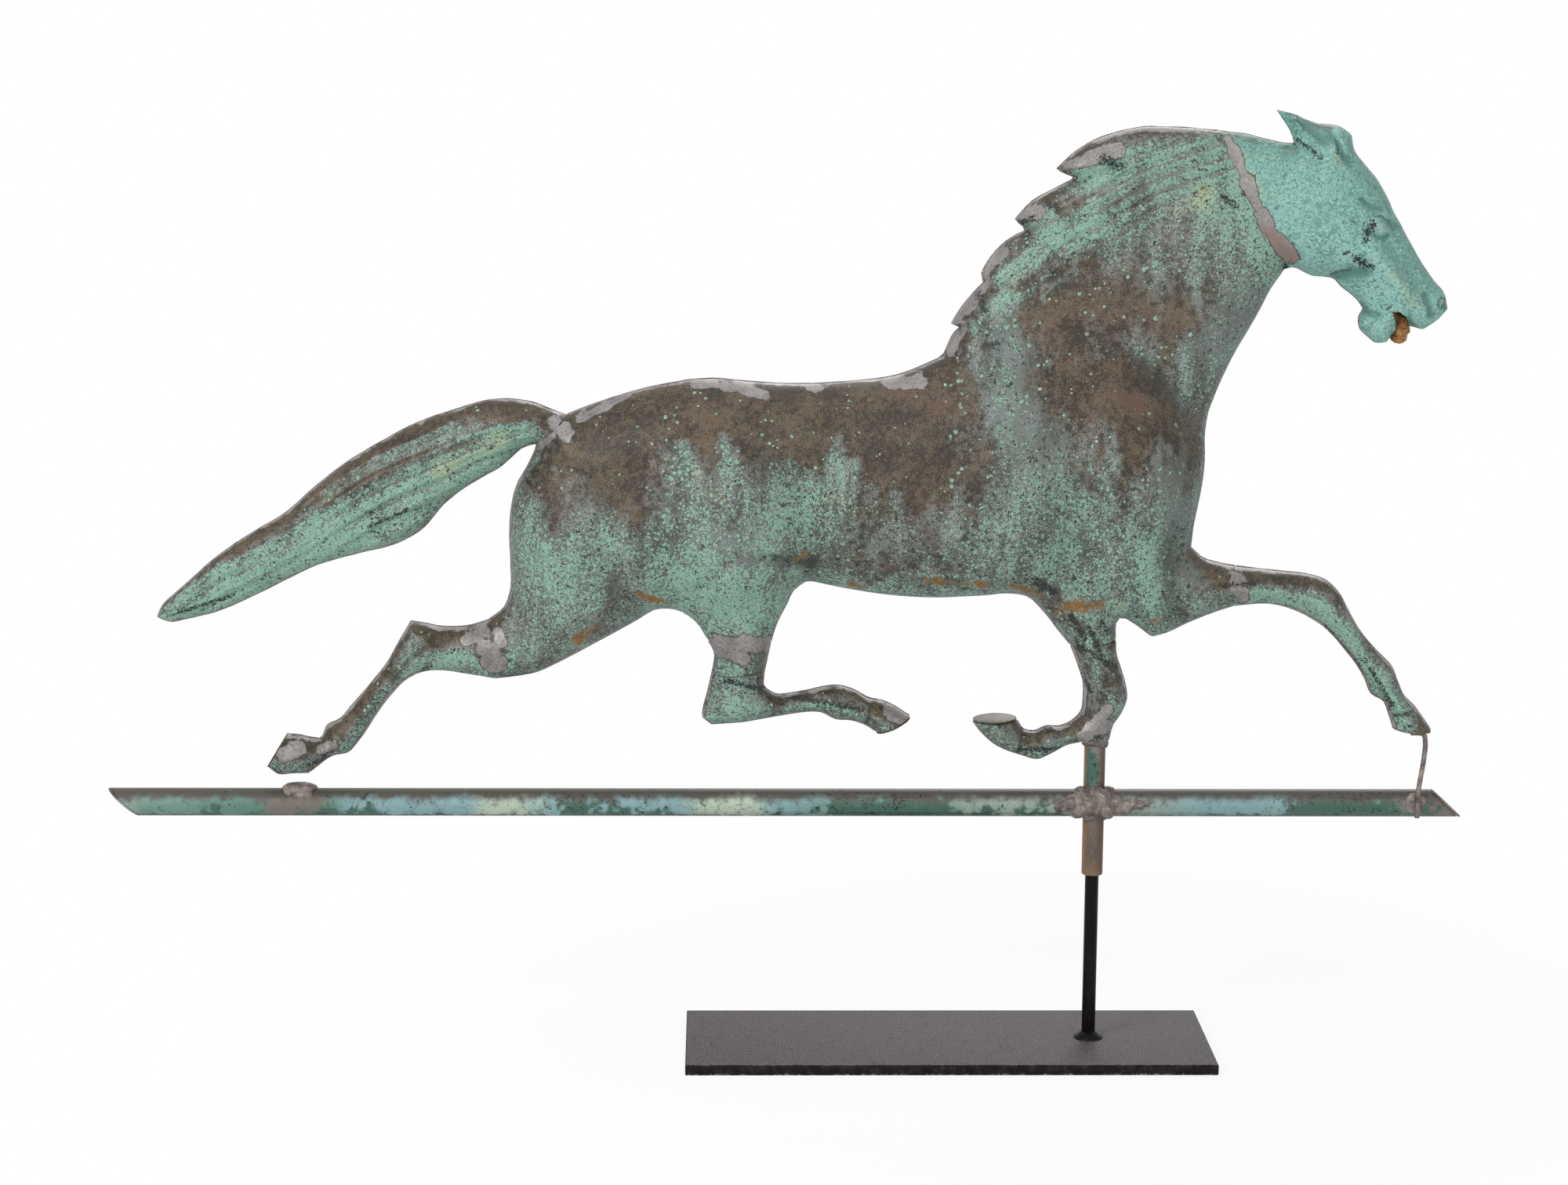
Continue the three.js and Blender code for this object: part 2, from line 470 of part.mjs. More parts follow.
// Points inside an outline: two rows that follow the edge, then an even staggered grid.
const ROW_SHARES = [0.3, 0.95]; // of the outline's step
function innerPoints(outline, step, grid) {
  const points = [];
  const clear = (x, z, space) => points.every((p) => Math.hypot(p.x - x, p.z - z) > space);
  for (const share of ROW_SHARES) {
    const inset = share * step;
    for (const p of outline) {
      const x = p.x + p.inward.x * inset;
      const z = p.z + p.inward.z * inset;
      if (!insideOutline(x, z, outline) || distanceToOutline(x, z, outline) < 0.9 * inset) continue;
      if (clear(x, z, 0.6 * step)) points.push({ x, z });
    }
  }
  const xs = outline.map((p) => p.x);
  const zs = outline.map((p) => p.z);
  const margin = ROW_SHARES[1] * step + grid / 3;
  let row = 0;
  for (let z = Math.min(...zs); z < Math.max(...zs); z += grid * Math.sin(Math.PI / 3)) {
    row += 1;
    for (let x = Math.min(...xs) + (row % 2) * (grid / 2); x < Math.max(...xs); x += grid) {
      const shift = grid * Math.sin((x / grid) * row) * 0.04; // keeps four points from lying on one circle
      if (insideOutline(x, z, outline) && distanceToOutline(x, z, outline) > margin)
        points.push({ x: x + shift, z: z - shift });
    }
  }
  return points;
}

// Delaunay triangles of points in the figure's plane, made by adding one point at a time.
function circleThrough(a, b, c) {
  const d = 2 * (a.x * (b.z - c.z) + b.x * (c.z - a.z) + c.x * (a.z - b.z));
  const [aa, bb, cc] = [a, b, c].map((p) => p.x * p.x + p.z * p.z);
  const x = (aa * (b.z - c.z) + bb * (c.z - a.z) + cc * (a.z - b.z)) / d;
  const z = (aa * (c.x - b.x) + bb * (a.x - c.x) + cc * (b.x - a.x)) / d;
  return { x, z, radius: Math.hypot(a.x - x, a.z - z) };
}

function delaunay(points) {
  const far = 40 * FIGURE_LENGTH;
  const all = [...points, { x: -far, z: -far }, { x: far, z: -far }, { x: 0, z: far }];
  const count = points.length;
  const triangle = (a, b, c) => ({ corners: [a, b, c], circle: circleThrough(all[a], all[b], all[c]) });
  let triangles = [triangle(count, count + 1, count + 2)];
  points.forEach((p, index) => {
    const edges = new Map();
    triangles = triangles.filter(({ corners, circle }) => {
      if (Math.hypot(p.x - circle.x, p.z - circle.z) >= circle.radius) return true;
      corners.forEach((a, i) => {
        const b = corners[(i + 1) % 3];
        if (!edges.delete(b + "," + a)) edges.set(a + "," + b, [a, b]);
      });
      return false;
    });
    for (const [a, b] of edges.values()) triangles.push(triangle(a, b, index));
  });
  return triangles.map(({ corners }) => corners).filter((corners) => corners.every((i) => i < count));
}

// Triangles that fill an outline, which gets a point more wherever an edge of it is missing.
function fillOutline(outline, step, grid) {
  const inner = innerPoints(outline, step, grid);
  for (;;) {
    const points = [...outline, ...inner];
    const triangles = delaunay(points).filter((corners) => {
      const x = corners.reduce((sum, i) => sum + points[i].x, 0) / 3;
      const z = corners.reduce((sum, i) => sum + points[i].z, 0) / 3;
      return insideOutline(x, z, outline);
    });
    const edges = new Set(triangles.flatMap(([a, b, c]) => [a + "," + b, b + "," + c, c + "," + a]));
    const missing = outline.findIndex((_, i) => !edges.has(i + "," + ((i + 1) % outline.length)));
    if (missing < 0) return { points, triangles };
    const a = outline[missing];
    const b = outline[(missing + 1) % outline.length];
    outline.splice(missing + 1, 0, {
      x: (a.x + b.x) / 2,
      z: (a.z + b.z) / 2,
      inward: a.inward,
      open: a.open && b.open,
      corner: false,
    });
  }
}

// A closed solid between a flat bottom and a top that rises towards -Y over the same triangles.
function reliefSolid(places, triangles, edgeCount, bottom) {
  const count = places.length;
  const position = new Float32Array(count * 6);
  places.forEach(([x, y, z], i) => {
    position.set([x, y, z], i * 3);
    position.set([x, bottom, z], (count + i) * 3);
  });
  const index = triangles.flatMap(([a, b, c]) => [a, b, c, count + a, count + c, count + b]);
  for (let i = 0; i < edgeCount; i++) {
    const next = (i + 1) % edgeCount;
    index.push(i, count + i, count + next, i, count + next, next);
  }
  return new wasm.Manifold(
    new wasm.Mesh({ numProp: 3, vertProperties: position, triVerts: new Uint32Array(index) }),
  );
}

// The right half of a piece of the figure: its beaten outside, less the room inside it.
function rightShell(runs, step, grid, filledNear) {
  const outline = pieceOutline(runs, step);
  const { points, triangles } = fillOutline(outline, step, grid);
  const seam = -GAP / 2;
  const outside = points.map((p) => [p.x, seam - halfThickness(p.x, p.z), p.z]);
  const inside = points.map((p, i) => {
    const filled = filledNear && Math.hypot(p.x - filledNear.x, p.z - filledNear.z) < earLength;
    const closed = filled || (i < outline.length && !p.open);
    const depth = sheetDepth(p.x, p.z, p.inward ?? { x: 0, z: 0 });
    const y = closed ? OVERRUN / 2 : outside[i][1] + depth;
    const beyond = p.open ? OVERRUN / 3 : 0;
    return [
      p.x - (p.inward?.x ?? 0) * beyond,
      Math.min(y, OVERRUN / 2),
      p.z - (p.inward?.z ?? 0) * beyond,
    ];
  });
  const outer = reliefSolid(outside, triangles, outline.length, seam);
  const inner = reliefSolid(inside, triangles, outline.length, OVERRUN);
  return outer.subtract(inner);
}

function mirrored(geometry) {
  const copy = geometry.clone();
  copy.applyMatrix4(new THREE.Matrix4().makeScale(1, -1, 1));
  const index = copy.index.array;
  for (let i = 0; i < index.length; i += 3) [index[i + 1], index[i + 2]] = [index[i + 2], index[i + 1]];
  copy.computeVertexNormals();
  return copy;
}

// Stand: plate, spindle with a turned point, and the weld at its foot
const stand = new THREE.Group();
horseWeathervane.add(stand);

const plateOutline = new THREE.Shape();
const plateRear = PLATE_NOSE - PLATE_LENGTH + PLATE_CHAMFER;
const plateSide = PLATE_WIDTH / 2 - PLATE_CHAMFER;
plateOutline.moveTo(plateRear, -plateSide);
plateOutline.lineTo(PLATE_NOSE - PLATE_CHAMFER, -plateSide);
plateOutline.lineTo(PLATE_NOSE - PLATE_CHAMFER, plateSide);
plateOutline.lineTo(plateRear, plateSide);
const plate = new THREE.ExtrudeGeometry(plateOutline, {
  depth: PLATE_THICKNESS - 2 * PLATE_CHAMFER,
  bevelSize: PLATE_CHAMFER,
  bevelThickness: PLATE_CHAMFER,
  bevelSegments: 1,
}).translate(0, 0, PLATE_CHAMFER);
addMesh(stand, "base_plate", plate, BLACK_STEEL);

const SPINDLE_RADIUS = SPINDLE_DIAMETER / 2;
const SEAT_BOTTOM = SLEEVE_TOP - SEAT_LENGTH;
const SPINDLE_TOP = SEAT_BOTTOM + SEAT_DIMPLE - GAP;
const spindle = turned([
  [0, PLATE_THICKNESS],
  [SPINDLE_RADIUS, PLATE_THICKNESS],
  [SPINDLE_RADIUS, SPINDLE_TOP - SPINDLE_POINT],
  [0, SPINDLE_TOP],
]);
addMesh(stand, "stand_spindle", spindle, BLACK_STEEL);

const weldInside = SPINDLE_RADIUS + GAP;
const weld = turned([
  [weldInside, PLATE_THICKNESS],
  [weldInside + WELD_WIDTH, PLATE_THICKNESS],
  [weldInside + WELD_WIDTH * 0.95, PLATE_THICKNESS + WELD_HEIGHT * 0.22],
  [weldInside + WELD_WIDTH * 0.45, PLATE_THICKNESS + WELD_HEIGHT * 0.5],
  [weldInside + WELD_WIDTH * 0.12, PLATE_THICKNESS + WELD_HEIGHT],
  [weldInside, PLATE_THICKNESS + WELD_HEIGHT],
  [weldInside, PLATE_THICKNESS],
]);
addMesh(stand, "spindle_weld", weld, BLACK_STEEL);

// Vane: the sleeve and its seat on the spindle's point
const vane = new THREE.Group();
horseWeathervane.add(vane);

const SLEEVE_BORE = SLEEVE_RADIUS - SLEEVE_WALL;
const sleeve = turned([
  [SLEEVE_BORE, SLEEVE_BOTTOM],
  [SLEEVE_RADIUS - SLEEVE_CHAMFER, SLEEVE_BOTTOM],
  [SLEEVE_RADIUS, SLEEVE_BOTTOM + SLEEVE_CHAMFER],
  [SLEEVE_RADIUS, SLEEVE_TOP],
  [SLEEVE_BORE, SLEEVE_TOP],
  [SLEEVE_BORE, SLEEVE_BOTTOM],
]);
addMesh(vane, "pivot_sleeve", sleeve, { color: 0x6b5548, roughness: 0.7, metalness: 0.5 });

const SEAT_RADIUS = SLEEVE_BORE - GAP;
const DIMPLE_RADIUS = SPINDLE_RADIUS * (SEAT_DIMPLE / SPINDLE_POINT);
const seat = turned([
  [0, SEAT_BOTTOM + SEAT_DIMPLE],
  [DIMPLE_RADIUS, SEAT_BOTTOM],
  [SEAT_RADIUS, SEAT_BOTTOM],
  [SEAT_RADIUS, SLEEVE_TOP],
  [SLEEVE_RADIUS, SLEEVE_TOP],
  [SLEEVE_RADIUS, SLEEVE_TOP + SEAT_HEAD],
  [0, SLEEVE_TOP + SEAT_HEAD],
]);
addMesh(vane, "thrust_seat", seat, { color: 0x8a6b45, roughness: 0.5, metalness: 0.7 });

// Directional rod: a tube with a hole for the sleeve, slanted ends and a thin cap on each
const rod = new THREE.Group();
rod.position.z = ROD_HEIGHT;
vane.add(rod);

const SLANT = -Math.atan2(ROD_SLANT, ROD_RADIUS);
function lyingCylinder(radius, rear, front) {
  return new THREE.CylinderGeometry(radius, radius, front - rear, ROUND_SIDES)
    .rotateZ(-Math.PI / 2)
    .translate((front + rear) / 2, 0, 0);
}

// A block whose rear face is the slanted plane at x, leaning the way that lean says.
function slantedBlock(x, length, lean) {
  return new THREE.BoxGeometry(length, 2 * ROD_DIAMETER, 4 * ROD_DIAMETER)
    .translate(length / 2, 0, 0)
    .rotateY(lean)
    .translate(x, 0, 0);
}

const farCut = 4 * ROD_DIAMETER;
const rearBlock = solidFrom(slantedBlock(-ROD_REAR, farCut, Math.PI + SLANT));
const frontBlock = solidFrom(slantedBlock(ROD_FRONT, farCut, SLANT));
const rodBlank = solidFrom(lyingCylinder(ROD_RADIUS, -ROD_REAR - ROD_DIAMETER, ROD_FRONT + ROD_DIAMETER));
const rodBore = solidFrom(
  lyingCylinder(ROD_RADIUS - ROD_WALL, -ROD_REAR - 2 * ROD_DIAMETER, ROD_FRONT + 2 * ROD_DIAMETER),
);
const sleeveHole = solidFrom(standingCylinder(SLEEVE_RADIUS + GAP, -ROD_DIAMETER, ROD_DIAMETER));
const capSpace = (ROD_CAP + GAP) / Math.cos(SLANT); // along the rod, for a cap and its joint
const rodTube = rodBlank
  .subtract(solidFrom(slantedBlock(-ROD_REAR + capSpace, farCut, Math.PI + SLANT)))
  .subtract(solidFrom(slantedBlock(ROD_FRONT - capSpace, farCut, SLANT)))
  .subtract(rodBore)
  .subtract(sleeveHole);
const ROD_PAINT = { color: 0x6a7d72, roughness: 0.7, metalness: 0.4 };
addMesh(rod, "directional_rod", geometryFrom(rodTube), ROD_PAINT);

const capLength = ROD_CAP / Math.cos(SLANT);
const rearCap = rodBlank
  .subtract(rearBlock)
  .intersect(solidFrom(slantedBlock(-ROD_REAR + capLength, farCut, Math.PI + SLANT)));
addMesh(rod, "rod_cap_rear", geometryFrom(rearCap), ROD_PAINT);
const frontCap = rodBlank
  .subtract(frontBlock)
  .intersect(solidFrom(slantedBlock(ROD_FRONT - capLength, farCut, SLANT)));
addMesh(rod, "rod_cap_front", geometryFrom(frontCap), ROD_PAINT);

// A lump of solder on the rod: lobed in plan and domed. The angle is 0 on the rod's top and
// a quarter turn on its near side.
const PAD_SPOKES = 16;
const PAD_RING_SHARES = [1, 0.85, 0.5];
function solderOnRod(x, angle, halfLength, halfAcross, height, lobes) {
  const position = [];
  const place = (along, across, lift) => {
    const turn = angle + across / ROD_RADIUS;
    const radius = ROD_RADIUS + GAP + lift;
    position.push(x + along, -radius * Math.sin(turn), radius * Math.cos(turn));
  };
  const layer = (lift) => {
    for (const ring of PAD_RING_SHARES) {
      for (let spoke = 0; spoke < PAD_SPOKES; spoke++) {
        const theta = (spoke / PAD_SPOKES) * 2 * Math.PI;
        const reach = ring * (1 + 0.16 * Math.cos(lobes * theta));
        place(reach * halfLength * Math.cos(theta), reach * halfAcross * Math.sin(theta), lift(ring));
      }
    }
    place(0, 0, lift(0));
  };
  layer((ring) => height * (1 - 0.85 * ring * ring));
  layer(() => 0);
  const layerSize = PAD_RING_SHARES.length * PAD_SPOKES + 1;
  const index = [];
  const facing = (a, b, c, under) => (under ? index.push(a, c, b) : index.push(a, b, c));
  for (let spoke = 0; spoke < PAD_SPOKES; spoke++) {
    const next = (spoke + 1) % PAD_SPOKES;
    for (const under of [false, true]) {
      const base = under ? layerSize : 0;
      PAD_RING_SHARES.slice(1).forEach((_, i) => {
        const ring = base + i * PAD_SPOKES;
        facing(ring + spoke, ring + next, ring + PAD_SPOKES + next, under);
        facing(ring + spoke, ring + PAD_SPOKES + next, ring + PAD_SPOKES + spoke, under);
      });
      const last = base + (PAD_RING_SHARES.length - 1) * PAD_SPOKES;
      facing(last + spoke, last + next, base + layerSize - 1, under);
    }
    index.push(spoke, layerSize + spoke, layerSize + next, spoke, layerSize + next, next);
  }
  const geometry = new THREE.BufferGeometry();
  geometry.setAttribute("position", new THREE.Float32BufferAttribute(position, 3));
  geometry.setIndex(index.reverse());
  geometry.computeVertexNormals();
  return geometry;
}

const NEAR_SIDE = Math.PI / 2;
const postPad = solderOnRod(
  POST_PAD_AHEAD, NEAR_SIDE, POST_PAD_LENGTH / 2, ROD_RADIUS * 0.8, POST_PAD_HEIGHT, 5,
);
addMesh(rod, "post_solder", geometryFrom(solidFrom(postPad).subtract(sleeveHole)), SOLDER);

const stubX = ((OUTLINE_SHARES.hind_hoof[0][0] + OUTLINE_SHARES.hind_hoof[3][0]) / 2) * FIGURE_LENGTH;
const stub = solderOnRod(stubX + HOOF_LIFT / 2, 0, STUB_LENGTH / 2, ROD_RADIUS * 0.7, STUB_HEIGHT, 3);
addMesh(rod, "hoof_solder_stub", stub, SOLDER);

// Prop wire: under the sole of the stretched foreleg, round its toe and down over the rod's near side
const [soleHeel, soleToe] = OUTLINE_SHARES.raised_sole.map(
  ([x, z]) => new THREE.Vector3(x * FIGURE_LENGTH, 0, FIGURE_BASE + z * FIGURE_LENGTH),
);
const WIRE_RADIUS = WIRE_DIAMETER / 2;
const alongSole = soleHeel.clone().sub(soleToe).normalize();
const belowSole = new THREE.Vector3(0, 0, -(2 * GAP + WIRE_RADIUS)); // so that its bend clears the plate too
const wireSide = -(ROD_RADIUS + GAP + WIRE_RADIUS);
const wireFoot = soleToe.x - WIRE_LEAN;
const wireTurn = soleToe.clone().add(belowSole);
const wireCurve = new THREE.CatmullRomCurve3([
  soleToe.clone().addScaledVector(alongSole, WIRE_TAB).add(belowSole),
  soleToe.clone().addScaledVector(alongSole, WIRE_TAB / 3).add(belowSole),
  new THREE.Vector3(wireTurn.x - WIRE_BEND * 0.65, -WIRE_RADIUS / 2, wireTurn.z - WIRE_BEND),
  new THREE.Vector3(
    (wireTurn.x + wireFoot) / 2, wireSide / 2, (wireTurn.z + ROD_HEIGHT + ROD_RADIUS + HOOF_LIFT) / 2,
  ),
  new THREE.Vector3(wireFoot, wireSide, ROD_HEIGHT + ROD_RADIUS),
  new THREE.Vector3(wireFoot, wireSide, ROD_HEIGHT + ROD_RADIUS / 2),
  new THREE.Vector3(wireFoot, wireSide, ROD_HEIGHT - ROD_RADIUS + WIRE_RADIUS),
]);
const WIRE_SIDES = 8;
const WIRE_STEPS = 20;
function wireGeometry(radius) {
  const section = new THREE.Shape();
  for (let i = 0; i < WIRE_SIDES; i++) {
    const turn = (i / WIRE_SIDES) * 2 * Math.PI;
    section[i ? "lineTo" : "moveTo"](radius * Math.cos(turn), radius * Math.sin(turn));
  }
  return new THREE.ExtrudeGeometry(section, { steps: WIRE_STEPS, extrudePath: wireCurve });
}
addMesh(vane, "prop_wire", wireGeometry(WIRE_RADIUS), SOLDER);

const wireRoom = solidFrom(wireGeometry(WIRE_RADIUS + GAP)).translate([0, 0, -ROD_HEIGHT]);
const propPad = solderOnRod(
  wireFoot - WIRE_RADIUS, NEAR_SIDE - PROP_PAD_TURN, PROP_PAD_LENGTH / 2, ROD_RADIUS * 0.8, PROP_PAD_HEIGHT, 4,
);
addMesh(rod, "prop_solder", geometryFrom(solidFrom(propPad).subtract(wireRoom)), SOLDER);

// Figure: right and left halves of each piece, then the soles and the plug in the mouth
const figure = new THREE.Group();
figure.position.z = FIGURE_BASE;
vane.add(figure);

const sleeveRoom = solidFrom(
  standingCylinder(SLEEVE_RADIUS + GAP, -FIGURE_BASE, SLEEVE_TOP + SEAT_HEAD + GAP - FIGURE_BASE),
);
const earWedge = new THREE.Shape();
earWedge.moveTo(0, 0);
earWedge.lineTo(2 * earLength, EAR_SPACE);
earWedge.lineTo(2 * earLength, -EAR_SPACE);
const earSpace = solidFrom(
  new THREE.ExtrudeGeometry(earWedge, {
    depth: (EAR_BELOW_SHARE + EAR_ABOVE_SHARE) * earLength,
    bevelEnabled: false,
  })
    .translate(0, 0, -EAR_ABOVE_SHARE * earLength)
    .rotateY(-Math.atan2(earTip.z - earRoot.z, earTip.x - earRoot.x))
    .translate(earRoot.x, 0, earRoot.z),
);

for (const [name, runs] of Object.entries(PIECES)) {
  const isBody = name === "body";
  const step = isBody ? BODY_STEP : LIMB_STEP;
  const grid = isBody ? BODY_GRID : LIMB_GRID;
  let shell = rightShell(runs, step, grid, name === "head" ? earTip : null);
  if (isBody || name === "foreleg_folded") shell = shell.subtract(sleeveRoom);
  if (name === "head") shell = shell.subtract(earSpace);
  const right = geometryFrom(shell);
  const material = name === "head" ? GREEN_METAL : COPPER;
  addMesh(figure, name + "_right", right, material);
  addMesh(figure, name + "_left", mirrored(right), material);
}

// The plug in the mouth: it fills the notch between the jaws, and its lower edge is free.
const PLUG_FREE_SHARES = [[0.2352, 0.3505], [0.2305, 0.3458], [0.2235, 0.3452]];
const PLUG_WIDTH_SHARE = 0.7; // of the muzzle's thickness beside it
const plugOutline = [
  ...runPoints("mouth_below", LIMB_STEP),
  ...runPoints("mouth_above", LIMB_STEP).slice(1),
  ...PLUG_FREE_SHARES.map(figurePoint),
];
const mouthCorner = figurePoint(OUTLINE_SHARES.mouth_above[0]);
const plugHalf = PLUG_WIDTH_SHARE * halfThickness(mouthCorner.x, mouthCorner.z);
const plugShape = new THREE.Shape();
plugOutline.forEach((p, i) => {
  const last = plugOutline[(i + plugOutline.length - 1) % plugOutline.length];
  const next = plugOutline[(i + 1) % plugOutline.length];
  const length = Math.hypot(next.x - last.x, next.z - last.z);
  const x = p.x + ((next.z - last.z) / length) * 2 * GAP;
  const z = p.z - ((next.x - last.x) / length) * 2 * GAP;
  plugShape[i ? "lineTo" : "moveTo"](x, z);
});
const plug = new THREE.ExtrudeGeometry(plugShape, { depth: 2 * plugHalf, bevelEnabled: false })
  .rotateX(Math.PI / 2)
  .translate(0, plugHalf, 0);
addMesh(figure, "mouth_plug", plug, { color: 0x9a6b44, roughness: 0.9, metalness: 0 });

// A sole closes each hoof: its width follows the hoof's thickness along the flat cut.
const SOLE_STATIONS = 10;
function addSole(name, run) {
  const [[heelX, heelZ], [toeX, toeZ]] = OUTLINE_SHARES[run];
  const heel = { x: heelX * FIGURE_LENGTH, z: heelZ * FIGURE_LENGTH };
  const length = Math.hypot(toeX - heelX, toeZ - heelZ) * FIGURE_LENGTH;
  const turn = Math.atan2(toeZ - heelZ, toeX - heelX);
  const stations = Array.from({ length: SOLE_STATIONS + 1 }, (_, i) => {
    const share = (1 - Math.cos((Math.PI * i) / SOLE_STATIONS)) / 2;
    const along = share * length;
    const x = heel.x + along * Math.cos(turn);
    const z = heel.z + along * Math.sin(turn);
    return [along, halfThickness(x, z)];
  });
  const outline = new THREE.Shape();
  stations.forEach(([along, half], i) => outline[i ? "lineTo" : "moveTo"](along, half));
  stations.toReversed().forEach(([along, half]) => outline.lineTo(along, -half));
  const sole = new THREE.ExtrudeGeometry(outline, { depth: SHEET, bevelEnabled: false })
    .rotateY(-turn)
    .translate(heel.x, 0, heel.z);
  addMesh(figure, name, sole, COPPER);
}
addSole("sole_hind_stretched", "hind_sole");
addSole("sole_hind_folded", "tucked_sole");
addSole("sole_fore_folded", "bent_sole");
addSole("sole_fore_stretched", "raised_sole");

export default horseWeathervane;
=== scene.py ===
# %% [markdown]
# # A running-horse weathervane in old sheet copper
#
# The real object is a hollow horse, beaten from thin copper sheet in right and left halves, soldered
# together and fixed over a horizontal rod. It turns on a steel spindle that stands on a steel plate.
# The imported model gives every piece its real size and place. This script gives the pieces their fine
# surface and their finish: a hundred years of weather on copper, solder and steel.

# %% The tools and the frame
import math

import bmesh
import bpy
import numpy as np
from mathutils import Matrix, Vector, noise
from mathutils.geometry import delaunay_2d_cdt


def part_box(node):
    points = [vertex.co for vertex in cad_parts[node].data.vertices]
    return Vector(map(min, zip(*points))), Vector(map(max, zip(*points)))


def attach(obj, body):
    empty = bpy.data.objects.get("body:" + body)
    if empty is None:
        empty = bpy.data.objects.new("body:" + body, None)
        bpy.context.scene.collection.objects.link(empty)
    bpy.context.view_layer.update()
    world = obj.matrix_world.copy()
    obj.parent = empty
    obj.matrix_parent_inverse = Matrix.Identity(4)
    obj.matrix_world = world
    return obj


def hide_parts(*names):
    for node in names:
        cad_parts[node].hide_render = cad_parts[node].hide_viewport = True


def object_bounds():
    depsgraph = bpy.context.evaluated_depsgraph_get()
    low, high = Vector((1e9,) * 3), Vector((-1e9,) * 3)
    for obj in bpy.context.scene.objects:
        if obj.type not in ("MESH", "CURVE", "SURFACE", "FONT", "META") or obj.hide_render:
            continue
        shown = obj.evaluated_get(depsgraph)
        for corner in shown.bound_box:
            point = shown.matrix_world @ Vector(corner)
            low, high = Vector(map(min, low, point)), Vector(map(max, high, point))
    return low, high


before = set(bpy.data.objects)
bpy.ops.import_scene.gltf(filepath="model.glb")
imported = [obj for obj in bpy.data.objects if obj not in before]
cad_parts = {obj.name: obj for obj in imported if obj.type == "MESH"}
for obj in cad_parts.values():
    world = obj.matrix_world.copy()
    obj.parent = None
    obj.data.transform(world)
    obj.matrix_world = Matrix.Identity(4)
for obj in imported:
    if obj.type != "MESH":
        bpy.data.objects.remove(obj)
cad_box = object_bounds()
bpy.ops.object.select_all(action="DESELECT")
MM = 0.001
print("CAD box:", [[round(value, 4) for value in corner] for corner in cad_box])

# %% [markdown]
# ## The camera
#
# The photograph was taken with a long lens from the horse's right side, a little above the rod. Its
# place was found from the plate's corners, whose real size is known. The same camera tells where a
# pixel of the photograph lies on the horse, which helps to put each stain where it belongs.

# %% Camera
PHOTO_WIDTH = 2000
PHOTO_HEIGHT = 1511
CAMERA_PLACE = Vector((-217.26, -1851.88, 620.07)) * MM
CAMERA_PITCH = math.radians(10.6815)
CAMERA_YAW = math.radians(-1.1632)
CAMERA_ROLL = math.radians(0.3422)
LENS = 75.94
SENSOR = 36
VIEW_END = 30

ahead = Vector((-math.sin(CAMERA_YAW), math.cos(CAMERA_YAW), 0))
sideways = Vector((math.cos(CAMERA_YAW), math.sin(CAMERA_YAW), 0))
upright = Vector((0, 0, 1))
view_ahead = ahead * math.cos(CAMERA_PITCH) - upright * math.sin(CAMERA_PITCH)
view_up = ahead * math.sin(CAMERA_PITCH) + upright * math.cos(CAMERA_PITCH)
view_right = sideways * math.cos(CAMERA_ROLL) + view_up * math.sin(CAMERA_ROLL)
view_up = view_up * math.cos(CAMERA_ROLL) - sideways * math.sin(CAMERA_ROLL)

bpy.ops.object.camera_add()
camera = bpy.context.object
camera.name = "camera"
camera.data.lens = LENS
camera.data.sensor_width = SENSOR
camera.data.clip_end = VIEW_END
turn = Matrix((view_right, view_up, -view_ahead)).transposed()
camera.matrix_world = Matrix.Translation(CAMERA_PLACE) @ turn.to_4x4()
bpy.context.scene.camera = camera
print("camera:", round(CAMERA_PLACE.length / MM), "mm from the spindle's foot")

# %% Where a place shows in the photograph
def pixels_of(points):
    """Where points of the model, one to a row in metres, fall in the photograph."""
    away = points - np.array(CAMERA_PLACE)
    depth = away @ np.array(view_ahead)
    focal = LENS / SENSOR * PHOTO_WIDTH
    across = PHOTO_WIDTH / 2 + focal * (away @ np.array(view_right)) / depth
    down = PHOTO_HEIGHT / 2 - focal * (away @ np.array(view_up)) / depth
    return np.stack([across, down], axis=1)


print("the turning axis meets the floor at pixel", pixels_of(np.zeros((1, 3))).round()[0])

# %% [markdown]
# ## Floor and light
#
# The photograph has a white ground with a faint shadow under the plate, and soft light from large
# lamps on both sides of the camera. The floor shows white to the camera and still takes a shadow.

# %% One function that adds a node, and one that reads a colour
def add_node(tree, kind, inputs=(), **settings):
    """Adds a node, sets its properties, and fills or links its inputs by name or number."""
    node = tree.nodes.new(kind)
    for name, value in settings.items():
        setattr(node, name, value)
    for name, value in dict(inputs).items():
        if isinstance(value, bpy.types.NodeSocket):
            tree.links.new(value, node.inputs[name])
        else:
            node.inputs[name].default_value = value
    return node


def colour(code):
    """An sRGB hex colour as the linear values that the shader wants."""
    channels = [int(code[i : i + 2], 16) / 255 for i in (1, 3, 5)]
    return [c / 12.92 if c <= 0.04045 else ((c + 0.055) / 1.055) ** 2.4 for c in channels] + [1]


def new_material(name):
    material = bpy.data.materials.new(name)
    material.use_nodes = True
    material.node_tree.nodes.clear()
    return material, material.node_tree


def seen_directly(tree):
    """1 where a ray comes from the camera, straight or by way of a mirror, and 0 elsewhere."""
    path = add_node(tree, "ShaderNodeLightPath").outputs
    either = {0: path["Is Camera Ray"], 1: path["Is Glossy Ray"]}
    return add_node(tree, "ShaderNodeMath", either, operation="MAXIMUM").outputs[0]


# %% White ground
FLOOR_SIZE = 12
FLOOR_GAP = 0.2 * MM
NEAR_GLOW = 0.88
FADE_START, FADE_END = 0.2, 0.55

